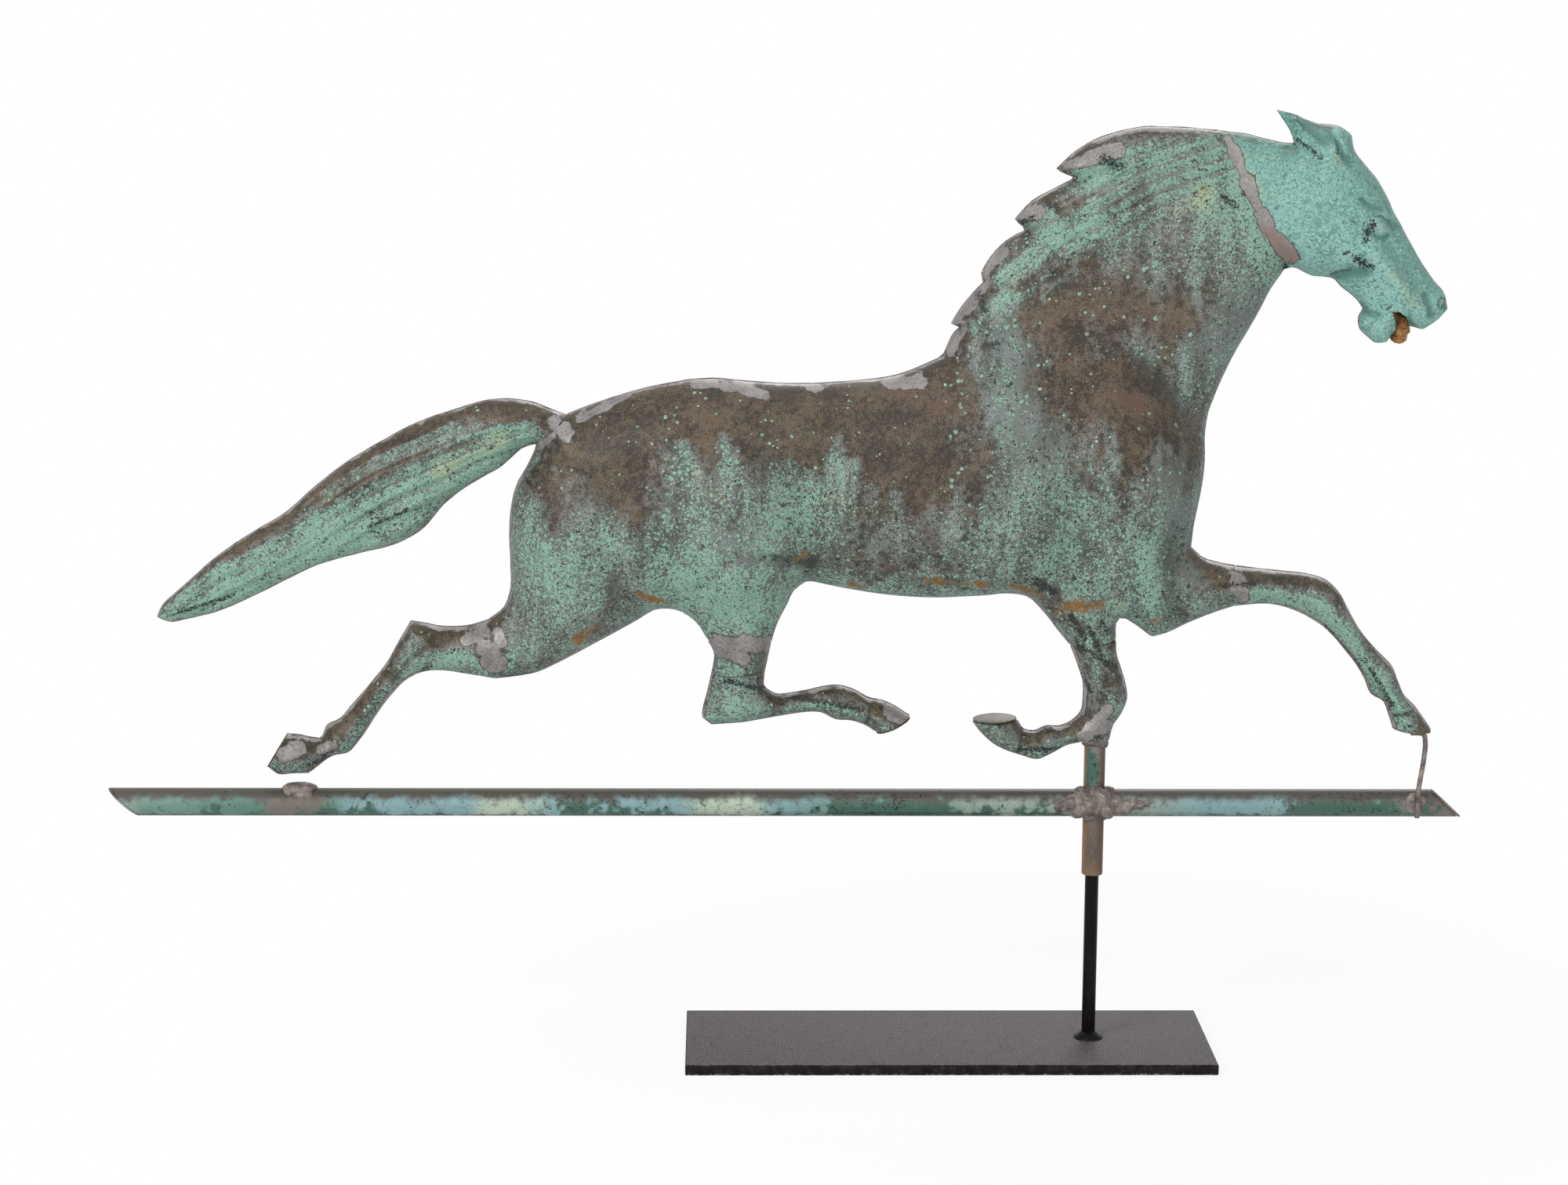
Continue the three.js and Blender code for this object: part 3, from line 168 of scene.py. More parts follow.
bpy.ops.mesh.primitive_plane_add(size=FLOOR_SIZE, location=(0, 0, cad_box[0].z - FLOOR_GAP))
floor = bpy.context.object
floor.name = "floor"
ground, tree = new_material("white painted ground")
matt = add_node(tree, "ShaderNodeBsdfDiffuse", {"Color": colour("#fafafa")})
glow = add_node(tree, "ShaderNodeEmission", {"Color": (1, 1, 1, 1), "Strength": 1})
place = add_node(tree, "ShaderNodeTexCoord").outputs["Object"]
reach = add_node(tree, "ShaderNodeVectorMath", {0: place}, operation="LENGTH").outputs["Value"]
fade = {"Value": reach, "From Min": FADE_START, "From Max": FADE_END, "To Min": NEAR_GLOW, "To Max": 1}
full = add_node(tree, "ShaderNodeMapRange", fade, interpolation_type="SMOOTHSTEP").outputs[0]
share = add_node(tree, "ShaderNodeMath", {0: seen_directly(tree), 1: full}, operation="MULTIPLY").outputs[0]
both = add_node(tree, "ShaderNodeMixShader", {0: share, 1: matt.outputs[0], 2: glow.outputs[0]})
add_node(tree, "ShaderNodeOutputMaterial", {"Surface": both.outputs[0]})
floor.data.materials.append(ground)
print("floor:", FLOOR_SIZE, "m square, nodes:", len(tree.nodes))

# %% World and lamps
SKY_STRENGTH = 0.2
world = bpy.data.worlds.new("studio")
bpy.context.scene.world = world
world.use_nodes = True
tree = world.node_tree
tree.nodes.clear()
strength = {"Value": seen_directly(tree), "To Min": SKY_STRENGTH, "To Max": 1}
strength = add_node(tree, "ShaderNodeMapRange", strength).outputs[0]
sky = add_node(tree, "ShaderNodeBackground", {"Color": (1, 1, 1, 1), "Strength": strength})
add_node(tree, "ShaderNodeOutputWorld", {"Surface": sky.outputs[0]})

LAMPS = {
    "left_softbox": {"place": (-1.5, -1.5, 1.5), "power": 29, "size": 0.7},
    "front_softbox": {"place": (0.1, -2.3, 1.0), "power": 11, "size": 0.7},
    "right_softbox": {"place": (1.6, -1.2, 0.8), "power": 5, "size": 1},
    "top_softbox": {"place": (-0.1, -0.1, 2.0), "power": 7, "size": 1.2},
    "back_softbox": {"place": (0.3, 1.9, 1.3), "power": 18, "size": 1.2},
}
LAMP_AIM = Vector((-170, 0, 330)) * MM
for name, lamp in LAMPS.items():
    bpy.ops.object.light_add(type="AREA", location=lamp["place"])
    light = bpy.context.object
    light.name = name
    light.data.energy = lamp["power"]
    light.data.size = lamp["size"]
    light.rotation_euler = (LAMP_AIM - light.location).to_track_quat("-Z", "Y").to_euler()
bpy.context.scene.view_settings.view_transform = "Standard"
print("lamps:", {name: lamp["power"] for name, lamp in LAMPS.items()})

# %% [markdown]
# ## Reading the outline of each beaten piece
#
# The horse is fourteen pieces of sheet: seven forms, each in a right and a left half. The packed
# model holds each half as a coarse net of triangles. Its outline is read from the net here: the
# edges that have a beaten face on one side only, joined into a loop.

# %% Sizes of the figure, and places on it
FORMS = (
    "body", "head", "tail", "hind_leg_stretched", "hind_leg_folded",
    "foreleg_folded", "foreleg_stretched",
)
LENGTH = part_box("head_right")[1].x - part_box("tail_right")[0].x
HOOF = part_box("hind_leg_stretched_right")[0].z
print("length of the figure:", round(LENGTH / MM, 1), "lowest hoof:", round(HOOF / MM, 1))


def placed(shares):
    """Places given in shares of the figure's length, from the turning axis and the lowest hoof."""
    return np.array(shares, float) * LENGTH + np.array([0, HOOF])


# %% The outline of a right half
TOUCH = 0.01 * MM
FACING = 0.002


def outline_of(node):
    """Corners round the outer face of a right half, as rows of x, z and depth."""
    form = bmesh.new()
    form.from_mesh(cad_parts[node].data)
    bmesh.ops.remove_doubles(form, verts=form.verts, dist=TOUCH)
    form.normal_update()
    outer = {face for face in form.faces if face.normal.y < -FACING}
    following = {}
    for face in outer:
        for loop in face.loops:
            if sum(other in outer for other in loop.edge.link_faces) == 1:
                following[loop.vert] = loop.link_loop_next.vert
    rounds = []
    while following:
        ring = [next(iter(following))]
        while following.get(ring[-1]) is not None:
            ring.append(following.pop(ring[-1]))
        rounds.append([(vert.co.x, vert.co.z, -vert.co.y) for vert in ring[:-1]])
    form.free()
    return np.array(max(rounds, key=len))


rings = {name: outline_of(name + "_right") for name in FORMS}
SEAM_DEPTH = min(ring[:, 2].min() for ring in rings.values())
print("half thickness at the seam:", round(SEAM_DEPTH / MM, 2), "mm")

# %% [markdown]
# The outline is drawn again as a smooth curve through those corners. It is broken at sharp corners,
# such as the tips of the mane, and stays straight where a piece is cut for its neighbour or for the
# plate that closes a hoof. Flat cuts are moved out a little, so that soldered pieces meet.

# %% Directions into an outline, and a smooth curve through corners
def inward_of(line):
    """Unit directions into the outline at each of its points."""
    heading = np.roll(line, -1, axis=0) - np.roll(line, 1, axis=0)
    return np.stack([-heading[:, 1], heading[:, 0]], 1) / np.linalg.norm(heading, axis=1)[:, None]


def curve_points(corners, count):
    """Points on the centripetal curve through four corners, from the second towards the third."""
    times = [0]
    for a, b in zip(corners, corners[1:]):
        times.append(times[-1] + max(np.linalg.norm(b - a), TOUCH) ** 0.5)

    def blend(a, b, start, end, t):
        return (a * (end - t) + b * (t - start)) / (end - start)

    found = []
    for t in np.linspace(times[1], times[2], count, endpoint=False):
        one, two, three = (blend(corners[i], corners[i + 1], times[i], times[i + 1], t) for i in range(3))
        low = blend(one, two, times[0], times[2], t)
        high = blend(two, three, times[1], times[3], t)
        found.append(blend(low, high, times[1], times[2], t))
    return found


print("middle of a curve:", curve_points(rings["head"][:4, :2], 2)[1].round(4))

# %% Fine outlines
SPACING = {"body": 1.35 * MM, "head": 0.85 * MM, "tail": 1.2 * MM}
LEG_SPACING = 1 * MM
SHARP = math.radians(38)
CUT_DEPTH = 6.5 * MM
JOINT_GAP = 0.15 * MM
OVERLAP = 0.6 * MM
CRACKED = ("foreleg_folded", "hind_leg_folded")


def fine_outline(name):
    """Close points round a piece, and for each whether a rounded edge runs from it to the next."""
    ring = rings[name]
    points, shallow = ring[:, :2], ring[:, 2] < CUT_DEPTH
    count = len(points)
    step = SPACING.get(name, LEG_SPACING)
    rounded = [bool(shallow[i] and shallow[(i + 1) % count]) for i in range(count)]
    headings = [math.atan2(*(points[(i + 1) % count] - points[i])[::-1]) for i in range(count)]
    turns = [(headings[i] - headings[i - 1] + math.pi) % (2 * math.pi) - math.pi for i in range(count)]
    broken = [abs(turns[i]) > SHARP or rounded[i] != rounded[i - 1] for i in range(count)]
    line, edges = [], []
    for i in range(count):
        start, end = points[i], points[(i + 1) % count]
        steps = max(1, round(np.linalg.norm(end - start) / step))
        before = 2 * start - end if broken[i] or not rounded[i] else points[i - 1]
        after = 2 * end - start if broken[(i + 1) % count] or not rounded[i] else points[(i + 2) % count]
        line += curve_points([before, start, end, after], steps)
        edges += [rounded[i]] * steps
    line, edges = np.array(line), np.array(edges)
    if name not in CRACKED:
        run = np.roll(line, -1, axis=0) - line
        out = np.stack([run[:, 1], -run[:, 0]], 1) / np.linalg.norm(run, axis=1)[:, None]
        before = np.roll(edges, 1)
        out = np.where((edges & ~before)[:, None], np.roll(out, 1, axis=0), out)
        flat = ~edges | ~before
        line[flat] += out[flat] * OVERLAP
    return line, edges


outlines = {name: fine_outline(name) for name in FORMS}
for name, (line, edges) in outlines.items():
    print(name, "outline points:", len(line), "of which rounded:", int(edges.sum()))

# %% [markdown]
# ## The form of the horse
#
# A coppersmith beats each half into a form that is thin at the seam, rounds over quickly, and swells
# over the muscles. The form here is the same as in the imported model: half thicknesses chosen at some
# places, with a rounded edge, and muscles and hollows laid over them. Here it is drawn finely, so the
# creases, the strands of the mane and the marks of the eye can be added.

# %% Distance from the rounded edge
REACH = 60 * MM
CHUNK = 1500
LEAST_SQUARE = 1e-12
edge_starts = np.concatenate([line[edges] for line, edges in outlines.values()])
edge_ends = np.concatenate([np.roll(line, -1, axis=0)[edges] for line, edges in outlines.values()])


def distances(points, starts, ends):
    """Distance from each point to each straight stretch, as a table."""
    along = ends - starts
    length = np.maximum((along**2).sum(1), LEAST_SQUARE)
    share = ((points[:, None] - starts) * along).sum(2) / length
    nearest = starts + np.clip(share, 0, 1)[..., None] * along
    return np.sqrt(((points[:, None] - nearest) ** 2).sum(2))


def edge_distance(points):
    """How far each point lies from the rounded outline, up to the reach."""
    found = np.full(len(points), REACH)
    order = np.argsort(points[:, 0])
    for first in range(0, len(points), CHUNK):
        part = order[first : first + CHUNK]
        low, high = points[part, 0].min() - REACH, points[part, 0].max() + REACH
        near = (edge_starts[:, 0] > low) & (edge_starts[:, 0] < high)
        if near.any():
            table = distances(points[part], edge_starts[near], edge_ends[near])
            found[part] = np.minimum(table.min(1), REACH)
    return found


print("stretches with a rounded edge:", len(edge_starts))

# %% Half thickness at chosen places: x, z and thickness, in shares of the figure's length
THICKNESS_SHARES = [
    (-0.43, 0.275, 0.019), (-0.47, 0.27, 0.019), (-0.55, 0.22, 0.021), (-0.63, 0.18, 0.018),
    (-0.72, 0.13, 0.01), (-0.39, 0.26, 0.042), (-0.41, 0.2, 0.049), (-0.36, 0.2, 0.053),
    (-0.42, 0.13, 0.035), (-0.46, 0.1, 0.022), (-0.3, 0.18, 0.047), (-0.28, 0.12, 0.022),
    (-0.515, 0.1, 0.018), (-0.56, 0.065, 0.013), (-0.6, 0.027, 0.015), (-0.635, 0.012, 0.019),
    (-0.285, 0.085, 0.016), (-0.28, 0.05, 0.016), (-0.23, 0.058, 0.0125), (-0.19, 0.055, 0.0145),
    (-0.16, 0.044, 0.018), (-0.24, 0.24, 0.046), (-0.15, 0.22, 0.05), (-0.08, 0.23, 0.05),
    (-0.24, 0.18, 0.04), (-0.2, 0.29, 0.04), (-0.12, 0.16, 0.043), (0, 0.25, 0.051),
    (0.05, 0.22, 0.045), (0.03, 0.16, 0.034), (-0.07, 0.33, 0.036), (0.03, 0.33, 0.036),
    (0.06, 0.4, 0.031), (0.09, 0.45, 0.027), (0.02, 0.48, 0.021), (-0.06, 0.42, 0.021),
    (0, 0.1, 0.0165), (0.003, 0.06, 0.016), (-0.03, 0.03, 0.0135), (-0.08, 0.035, 0.0175),
    (0.08, 0.15, 0.023), (0.14, 0.15, 0.0175), (0.185, 0.135, 0.017), (0.21, 0.1, 0.0125),
    (0.225, 0.07, 0.0145), (0.25, 0.045, 0.0185), (0.13, 0.46, 0.027), (0.165, 0.43, 0.034),
    (0.205, 0.435, 0.031), (0.225, 0.4, 0.025), (0.245, 0.37, 0.024), (0.215, 0.355, 0.017),
    (0.14, 0.51, 0.018), (0.17, 0.49, 0.026),
]
ROUNDNESS = 1.3
print("places with a chosen thickness:", len(THICKNESS_SHARES))

# %% An even field of half thickness, with the dips between the places smoothed away
CELL = 2.5 * MM
SMOOTHING = 8 * MM
KERNEL_REACH = 12
FALLOFF = 3
field_low = np.array([cad_box[0].x, cad_box[0].z]) - REACH
cells = [int(size) for size in (np.array([cad_box[1].x, cad_box[1].z]) + REACH - field_low) / CELL]
centres = np.stack(np.meshgrid(*(np.arange(count) for count in cells), indexing="ij"), -1) * CELL + field_low
thickness_places = placed([place[:2] for place in THICKNESS_SHARES])
away = np.sqrt(((centres[:, :, None] - thickness_places) ** 2).sum(-1))
weights = 1 / np.maximum(away, TOUCH) ** FALLOFF
field = (weights * [place[2] * LENGTH for place in THICKNESS_SHARES]).sum(-1) / weights.sum(-1)
kernel = np.exp(-((np.arange(-KERNEL_REACH, KERNEL_REACH + 1) * CELL / SMOOTHING) ** 2) / 2)
kernel /= kernel.sum()
for axis in (0, 1):
    edges_of_field = [(KERNEL_REACH, KERNEL_REACH) if a == axis else (0, 0) for a in (0, 1)]
    padded = np.pad(field, edges_of_field, mode="edge")
    field = np.apply_along_axis(np.convolve, axis, padded, kernel, mode="valid")
print("field of half thickness:", field.shape, "up to", round(field.max() / MM, 1), "mm")


def from_field(points):
    """The field at each point, blended between its cells."""
    place = (points - field_low) / CELL
    cell = np.floor(place).astype(int)
    (fx, fz), (i, j) = (place - cell).T, cell.T
    low = field[i, j] * (1 - fx) + field[i + 1, j] * fx
    high = field[i, j + 1] * (1 - fx) + field[i + 1, j + 1] * fx
    return low * (1 - fz) + high * fz


# %% [markdown]
# Muscles, hollows and creases are strokes: a line, how wide it is and how high it stands. Long, low
# strokes are muscles, and short, narrow ones below the surface are creases struck with a tool.

# %% Strokes of relief: height and width in millimetres, then a line of places in shares
RELIEF_STROKES = [
    (4.4, 23, [(-0.03, 0.34), (0.035, 0.23)]),
    (-3.3, 8, [(0.024, 0.33), (0.04, 0.313), (0.056, 0.293), (0.07, 0.262)]),
    (-3.6, 9, [(0.055, 0.2), (0.056, 0.135)]),
    (-3.3, 12, [(-0.04, 0.27), (-0.03, 0.16)]),
    (-4.4, 15, [(-0.255, 0.25), (-0.225, 0.17)]),
    (3.6, 22, [(-0.33, 0.27), (-0.285, 0.16)]),
    (-2.2, 10, [(-0.4, 0.23), (-0.375, 0.14)]),
    (2.9, 15, [(-0.1, 0.37), (0.02, 0.475)]),
    (-1.4, 4, [(-0.315, 0.155), (-0.285, 0.184), (-0.222, 0.173)]),
    (1.2, 6, [(-0.2, 0.152), (-0.1, 0.149)]),
    (-0.9, 3, [(-0.012, 0.138), (0.004, 0.146), (0.012, 0.165)]),
    (1.8, 9, [(0.09, 0.155), (0.15, 0.152), (0.19, 0.13)]),
    (2.9, 12, [(0.162, 0.425), (0.175, 0.415)]),
    (2.6, 4.4, [(0.203, 0.443), (0.214, 0.441)]),
    (-2.2, 1.9, [(0.1995, 0.4445), (0.206, 0.4425), (0.213, 0.4385)]),
    (-1.8, 1.9, [(0.19, 0.4555), (0.197, 0.4495), (0.206, 0.448)]),
    (2.6, 3, [(0.203, 0.4335), (0.2065, 0.4325)]),
    (-1.7, 1.9, [(0.1985, 0.4305), (0.204, 0.4265), (0.211, 0.428)]),
    (-2.6, 3.4, [(0.214, 0.4365), (0.2175, 0.4345)]),
    (2.2, 5.8, [(0.2, 0.415), (0.228, 0.388)]),
    (-2, 4.5, [(0.212, 0.42), (0.236, 0.39)]),
    (-3.6, 4, [(0.1755, 0.3955), (0.184, 0.3992), (0.196, 0.3995)]),
    (-1.8, 2.4, [(0.2428, 0.3822), (0.2455, 0.3745), (0.2479, 0.367)]),
    (-3.6, 2.3, [(0.2585, 0.3748), (0.261, 0.3725)]),
    (1.8, 2.2, [(0.2555, 0.377), (0.258, 0.3795), (0.2625, 0.376)]),
    (-1.8, 2, [(0.231, 0.3635), (0.238, 0.356)]),
    (-2, 2.2, [(0.197, 0.3737), (0.2004, 0.3686), (0.2075, 0.3665)]),
    (1.4, 5, [(0.207, 0.3575), (0.212, 0.3525)]),
    (-3, 2.4, [(0.1677, 0.5045), (0.1725, 0.4965), (0.177, 0.4866)]),
    (2.2, 3.4, [(0.172, 0.506), (0.1785, 0.4975), (0.182, 0.489)]),
    (-2.2, 2.2, [(0.1767, 0.5034), (0.1826, 0.4924), (0.1809, 0.4839)]),
    (-2, 3.2, [(0.148, 0.5105), (0.156, 0.5035), (0.163, 0.4975)]),
    (-0.8, 4, [(0.145, 0.494), (0.155, 0.489), (0.163, 0.478)]),
    (1.6, 4.5, [(-0.532, 0.116), (-0.522, 0.104)]),
    (-1.2, 3, [(-0.519, 0.111), (-0.535, 0.099), (-0.55, 0.08)]),
    (-0.9, 1.8, [(-0.604, 0.037), (-0.6, 0.021)]),
    (-1.4, 1.1, [(-0.6105, 0.0275), (-0.6075, 0.02), (-0.6052, 0.013)]),
    (1.2, 3, [(-0.598, 0.033), (-0.592, 0.026)]),
    (1.3, 5, [(-0.295, 0.06), (-0.285, 0.052)]),
    (1.2, 3, [(-0.202, 0.058), (-0.198, 0.05)]),
    (-1, 1.6, [(-0.178, 0.057), (-0.182, 0.042)]),
    (1.5, 5, [(0.012, 0.072), (0.013, 0.058)]),
    (-1, 1.8, [(-0.056, 0.041), (-0.062, 0.02)]),
    (1.2, 3, [(-0.049, 0.031), (-0.047, 0.02)]),
    (1.4, 5, [(0.196, 0.128), (0.202, 0.11)]),
    (1.2, 3, [(0.229, 0.066), (0.225, 0.07)]),
    (-1, 1.6, [(0.2355, 0.0505), (0.2475, 0.0535)]),
]
# How strongly a stroke's rise over its width becomes painted shade in a crease and painted highlight on a
# ridge.
RELIEF_SHADE_GAIN = 1.2
print("strokes of relief:", len(RELIEF_STROKES))


def stroke_distance(points, line):
    """Distance from each point to a stroke's line, found in parts so the table stays small."""
    line = np.array(line, float)
    part = CHUNK * 10
    found = [
        distances(points[first : first + part], line[:-1], line[1:]).min(1)
        for first in range(0, len(points), part)
    ]
    return np.concatenate(found)


def relief(points):
    """Height of all the strokes at each point, and the painted shade they give: -1 in a crease, 1 on a
    ridge, where a painted highlight goes.
    """
    height, tone = np.zeros(len(points)), np.zeros(len(points))
    for rise, width, line in RELIEF_STROKES:
        share = np.exp(-((stroke_distance(points, placed(line)) / (width * MM)) ** 2))
        height += rise * MM * share
        tone += np.clip(RELIEF_SHADE_GAIN * rise / width, -1, 1) * share
    return height, np.clip(tone, -1, 1)


# %% [markdown]
# The mane and tail were given their hair by long grooves. A groove follows the hair: it is a wave
# across the direction in which the hair flows, bent a little so that no two strands are alike.

# %% Hair
MANE_LINE = [(0.09, 0.487), (0.03, 0.468), (-0.04, 0.43), (-0.075, 0.395), (-0.105, 0.355)]
MANE_EDGE = [
    (-0.5, 0.335), (-0.118, 0.335), (-0.098, 0.35), (-0.06, 0.375), (0, 0.42), (0.05, 0.45), (0.09, 0.47),
]
TAIL_LINE = [(-0.43, 0.278), (-0.49, 0.262), (-0.55, 0.232), (-0.65, 0.172), (-0.735, 0.122)]
STRAND_WANDER = ((3, 60 * MM), (2, 30 * MM))
STRAND_LENGTH, LENGTH_SWELL = 40 * MM, 0.4
CHANCE_LAYER = 3.7
FINE_STRAND, FINE_SHARE = 0.43, 0.38
MANE_FADE, POLL_FADE = 3.5, 3


def side_distance(points, shares):
    """Distance from a line of places, counted below nothing on its right."""
    line = placed(shares)
    table = distances(points, line[:-1], line[1:])
    nearest = table.argmin(1)
    along = (line[1:] - line[:-1])[nearest]
    offset = points - line[nearest]
    return table.min(1) * np.sign(along[:, 0] * offset[:, 1] - along[:, 1] * offset[:, 0])


def wandering(points, size):
    """Smooth chance values between -1 and 1, changing over about the given size."""
    return np.array([noise.noise(Vector((x / size, z / size, CHANCE_LAYER))) for x, z in points])


def hair(points, line, strand):
    """Strands along a line, from -1 in a groove to 1 on a ridge, for a strand's width in millimetres."""
    (coarse_bend, coarse_size), (fine_bend, fine_size) = STRAND_WANDER
    across = side_distance(points, line) / MM + coarse_bend * wandering(points, coarse_size)
    turns = 2 * math.pi * across / strand
    coarse = np.sin(turns)
    fine = np.sin(turns / FINE_STRAND + fine_bend * wandering(points, fine_size))
    lengths = 1 - LENGTH_SWELL + LENGTH_SWELL * wandering(points, STRAND_LENGTH)
    return ((1 - FINE_SHARE) * coarse + FINE_SHARE * fine) * lengths


def mane_share(points):
    """How much a point belongs to the mane: 1 above its lower edge, 0 below it."""
    above = side_distance(points, MANE_EDGE) / MM
    behind_poll = (placed([MANE_EDGE[-1]])[0, 0] - points[:, 0]) / MM
    return 1 / (1 + np.exp(-above / MANE_FADE)) / (1 + np.exp(-behind_poll / POLL_FADE))


print("share of mane at its line:", mane_share(placed(MANE_LINE)).round(2))

# %% The space between the ears
EAR_TIP, EAR_ROOT = placed([(0.1284, 0.521), (0.155, 0.5)])
EAR_SPACE = 7 * MM
EAR_EDGE = 1.6 * MM
EAR_BELOW, EAR_ABOVE = 0.24, 0.5
ear_length = np.linalg.norm(EAR_TIP - EAR_ROOT)
ear_way = (EAR_TIP - EAR_ROOT) / ear_length
print("length of an ear:", round(ear_length / MM, 1), "mm")


def ear_opening(points):
    """Half the width of the space between the ears, and which points belong to an ear."""
    offset = (points - EAR_ROOT) / ear_length
    along = offset @ ear_way
    below = offset[:, 1] * ear_way[0] - offset[:, 0] * ear_way[1]
    belongs = (along > 0) & (below < EAR_BELOW) & (below > -EAR_ABOVE)
    return np.where(belongs, along * EAR_SPACE / 2, 0), belongs


# %% Depth of the form
COVER_SHEET = 1.3 * MM
SLEEVE_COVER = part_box("pivot_sleeve")[1].x + COVER_SHEET
SOLDER_RISE = 0.45 * MM
HAMMER_MARKS = ((0.22 * MM, 19 * MM), (0.12 * MM, 8 * MM))
HAIR = {
    "body": {"line": MANE_LINE, "strand": 8, "rise": 1.9, "lift": 0.9, "tone": 0.6},
    "tail": {"line": TAIL_LINE, "strand": 11, "rise": 2.1, "lift": 0, "tone": 0.4},
}


def depth_of(name, points, solder):
    """Depth of the beaten outside at each point, its distance inside, and the painted shade and highlight of
    its relief.
    """
    inset = edge_distance(points)
    full = from_field(points)
    rounding = np.sqrt(1 - (1 - np.minimum(inset / (ROUNDNESS * full), 1)) ** 2)
    height, tone = relief(points)
    if name in HAIR:
        look = HAIR[name]
        share = mane_share(points) if name == "body" else 1
        strands = hair(points, look["line"], look["strand"])
        height += share * (look["rise"] * strands + look["lift"]) * MM
        # The strands add painted shade in their grooves and painted highlight on their ridges.
        tone = np.clip(tone + look["tone"] * share * strands, -1, 1)
    hammered = sum(rise * wandering(points, size) for rise, size in HAMMER_MARKS)
    depth = SEAM_DEPTH + rounding * (full + height + hammered + SOLDER_RISE * solder)
    if name == "foreleg_folded":
        depth = np.maximum(depth, np.sqrt(np.maximum(SLEEVE_COVER**2 - points[:, 0] ** 2, 0)))
    if name == "head":
        opening, belongs = ear_opening(points)
        depth = np.where(belongs, np.maximum(depth, opening + EAR_EDGE), depth)
    return depth, inset, tone


# %% [markdown]
# ## Where each stain lies
#
# The horse wears a map: brown where rain runs off, green where it stays, grey where solder was
# wiped, and gold where the last of the gilding is left. Each is painted here as strokes, by the
# place where it lies in the photograph, and kept on the mesh as an attribute. The materials later
# break the edges of the strokes with grain, so no stroke shows as a stroke.

# %% Verdigris: how much of it, how wide a stroke, and the stroke's pixels
VERDIGRIS_BASE = 0.45
VERDIGRIS_STROKES = [
    (0.52, 90, [(690, 730), (820, 710), (1000, 690), (1250, 730), (1400, 710)]),
    (0.02, 62, [(735, 570), (800, 532), (900, 520), (1000, 520), (1110, 525), (1190, 540)]),
    (0.06, 36, [(765, 605), (820, 600)]),
    (0.05, 38, [(965, 560), (1050, 570), (1150, 600), (1205, 645)]),
    (0.86, 15, [(872, 572), (876, 600), (880, 645)]),
    (0.8, 13, [(925, 562), (928, 590), (930, 625)]),
    (0.8, 13, [(1068, 562), (1069, 600), (1070, 625)]),
    (0.6, 9, [(1092, 590), (1093, 630)]),
    (0.6, 9, [(1010, 590), (1012, 625)]),
    (0.78, 40, [(690, 650), (698, 730), (690, 785)]),
    (0.1, 11, [(703, 622), (706, 655), (704, 680)]),
    (0.72, 46, [(770, 690), (830, 680), (870, 735)]),
    (0.66, 42, [(900, 655), (1000, 640), (1080, 650)]),
    (0.35, 42, [(1110, 680), (1180, 675), (1235, 660)]),
    (0.6, 20, [(1050, 738), (1150, 745), (1280, 752)]),
    (0.14, 44, [(1205, 495), (1222, 560), (1228, 610)]),
    (0.62, 28, [(1262, 465), (1290, 540), (1305, 610), (1335, 690)]),
    (0.05, 62, [(1360, 470), (1440, 510), (1465, 585)]),
    (0.55, 13, [(1410, 540), (1422, 600)]),
    (0.5, 11, [(1388, 585), (1392, 600)]),
    (0.62, 44, [(1362, 700), (1395, 730), (1415, 752)]),
    (0.2, 16, [(1330, 748), (1360, 790), (1380, 800)]),
    (0.7, 26, [(1345, 620), (1378, 650)]),
    (0.7, 30, [(1458, 700), (1470, 775)]),
    (0.34, 26, [(1502, 550), (1506, 640), (1500, 700)]),
    (0.46, 32, [(1612, 345), (1582, 420), (1548, 480)]),
    (0.13, 52, [(1335, 405), (1420, 375), (1500, 390)]),
    (0.56, 48, [(1420, 300), (1500, 262), (1570, 300)]),
    (1.12, 30, [(1370, 240), (1400, 222), (1450, 192), (1530, 182)]),
    (1, 19, [(1290, 348), (1330, 306), (1400, 284)]),
    (1.05, 16, [(1268, 392), (1300, 368)]), (1.1, 12, [(1330, 268), (1352, 262)]),
    (0.85, 10, [(1285, 318), (1310, 304)]), (0.95, 14, [(1545, 190), (1570, 215)]),
    (0.15, 9, [(1300, 368), (1340, 345), (1390, 335)]),
    (0.45, 9, [(1350, 262), (1400, 248)]),
    (0.35, 26, [(1242, 440), (1290, 425)]),
    (1.02, 60, [(230, 780), (400, 690), (560, 600), (650, 565)]),
    (0.1, 19, [(290, 690), (380, 630), (470, 562), (560, 522), (670, 518)]),
    (0.3, 8, [(420, 640), (520, 590), (610, 560)]),
    (0.5, 7, [(610, 800), (560, 800), (524, 820), (494, 870), (462, 920)]),
    (0.98, 15, [(640, 835), (568, 838), (525, 880), (482, 932), (445, 965)]),
    (0.86, 34, [(900, 745), (945, 780), (985, 785)]),
    (0.3, 26, [(1040, 715), (1150, 722), (1260, 725)]),
    (0.76, 18, [(930, 850), (935, 892), (1000, 893), (1090, 893)]),
    (0.6, 16, [(1400, 800), (1405, 850)]),
    (0.25, 14, [(1378, 835), (1375, 880)]),
    (0.5, 15, [(1405, 870), (1412, 905)]),
    (0.45, 15, [(1360, 945), (1290, 945), (1260, 930)]),
    (0.5, 10, [(1515, 722), (1640, 722), (1700, 745)]),
    (0.98, 16, [(1600, 755), (1660, 758), (1720, 805), (1762, 868), (1792, 912)]),
    (1.25, 110, [(1640, 230), (1720, 230), (1740, 300), (1800, 380)]),
]
print("strokes of verdigris:", len(VERDIGRIS_STROKES))
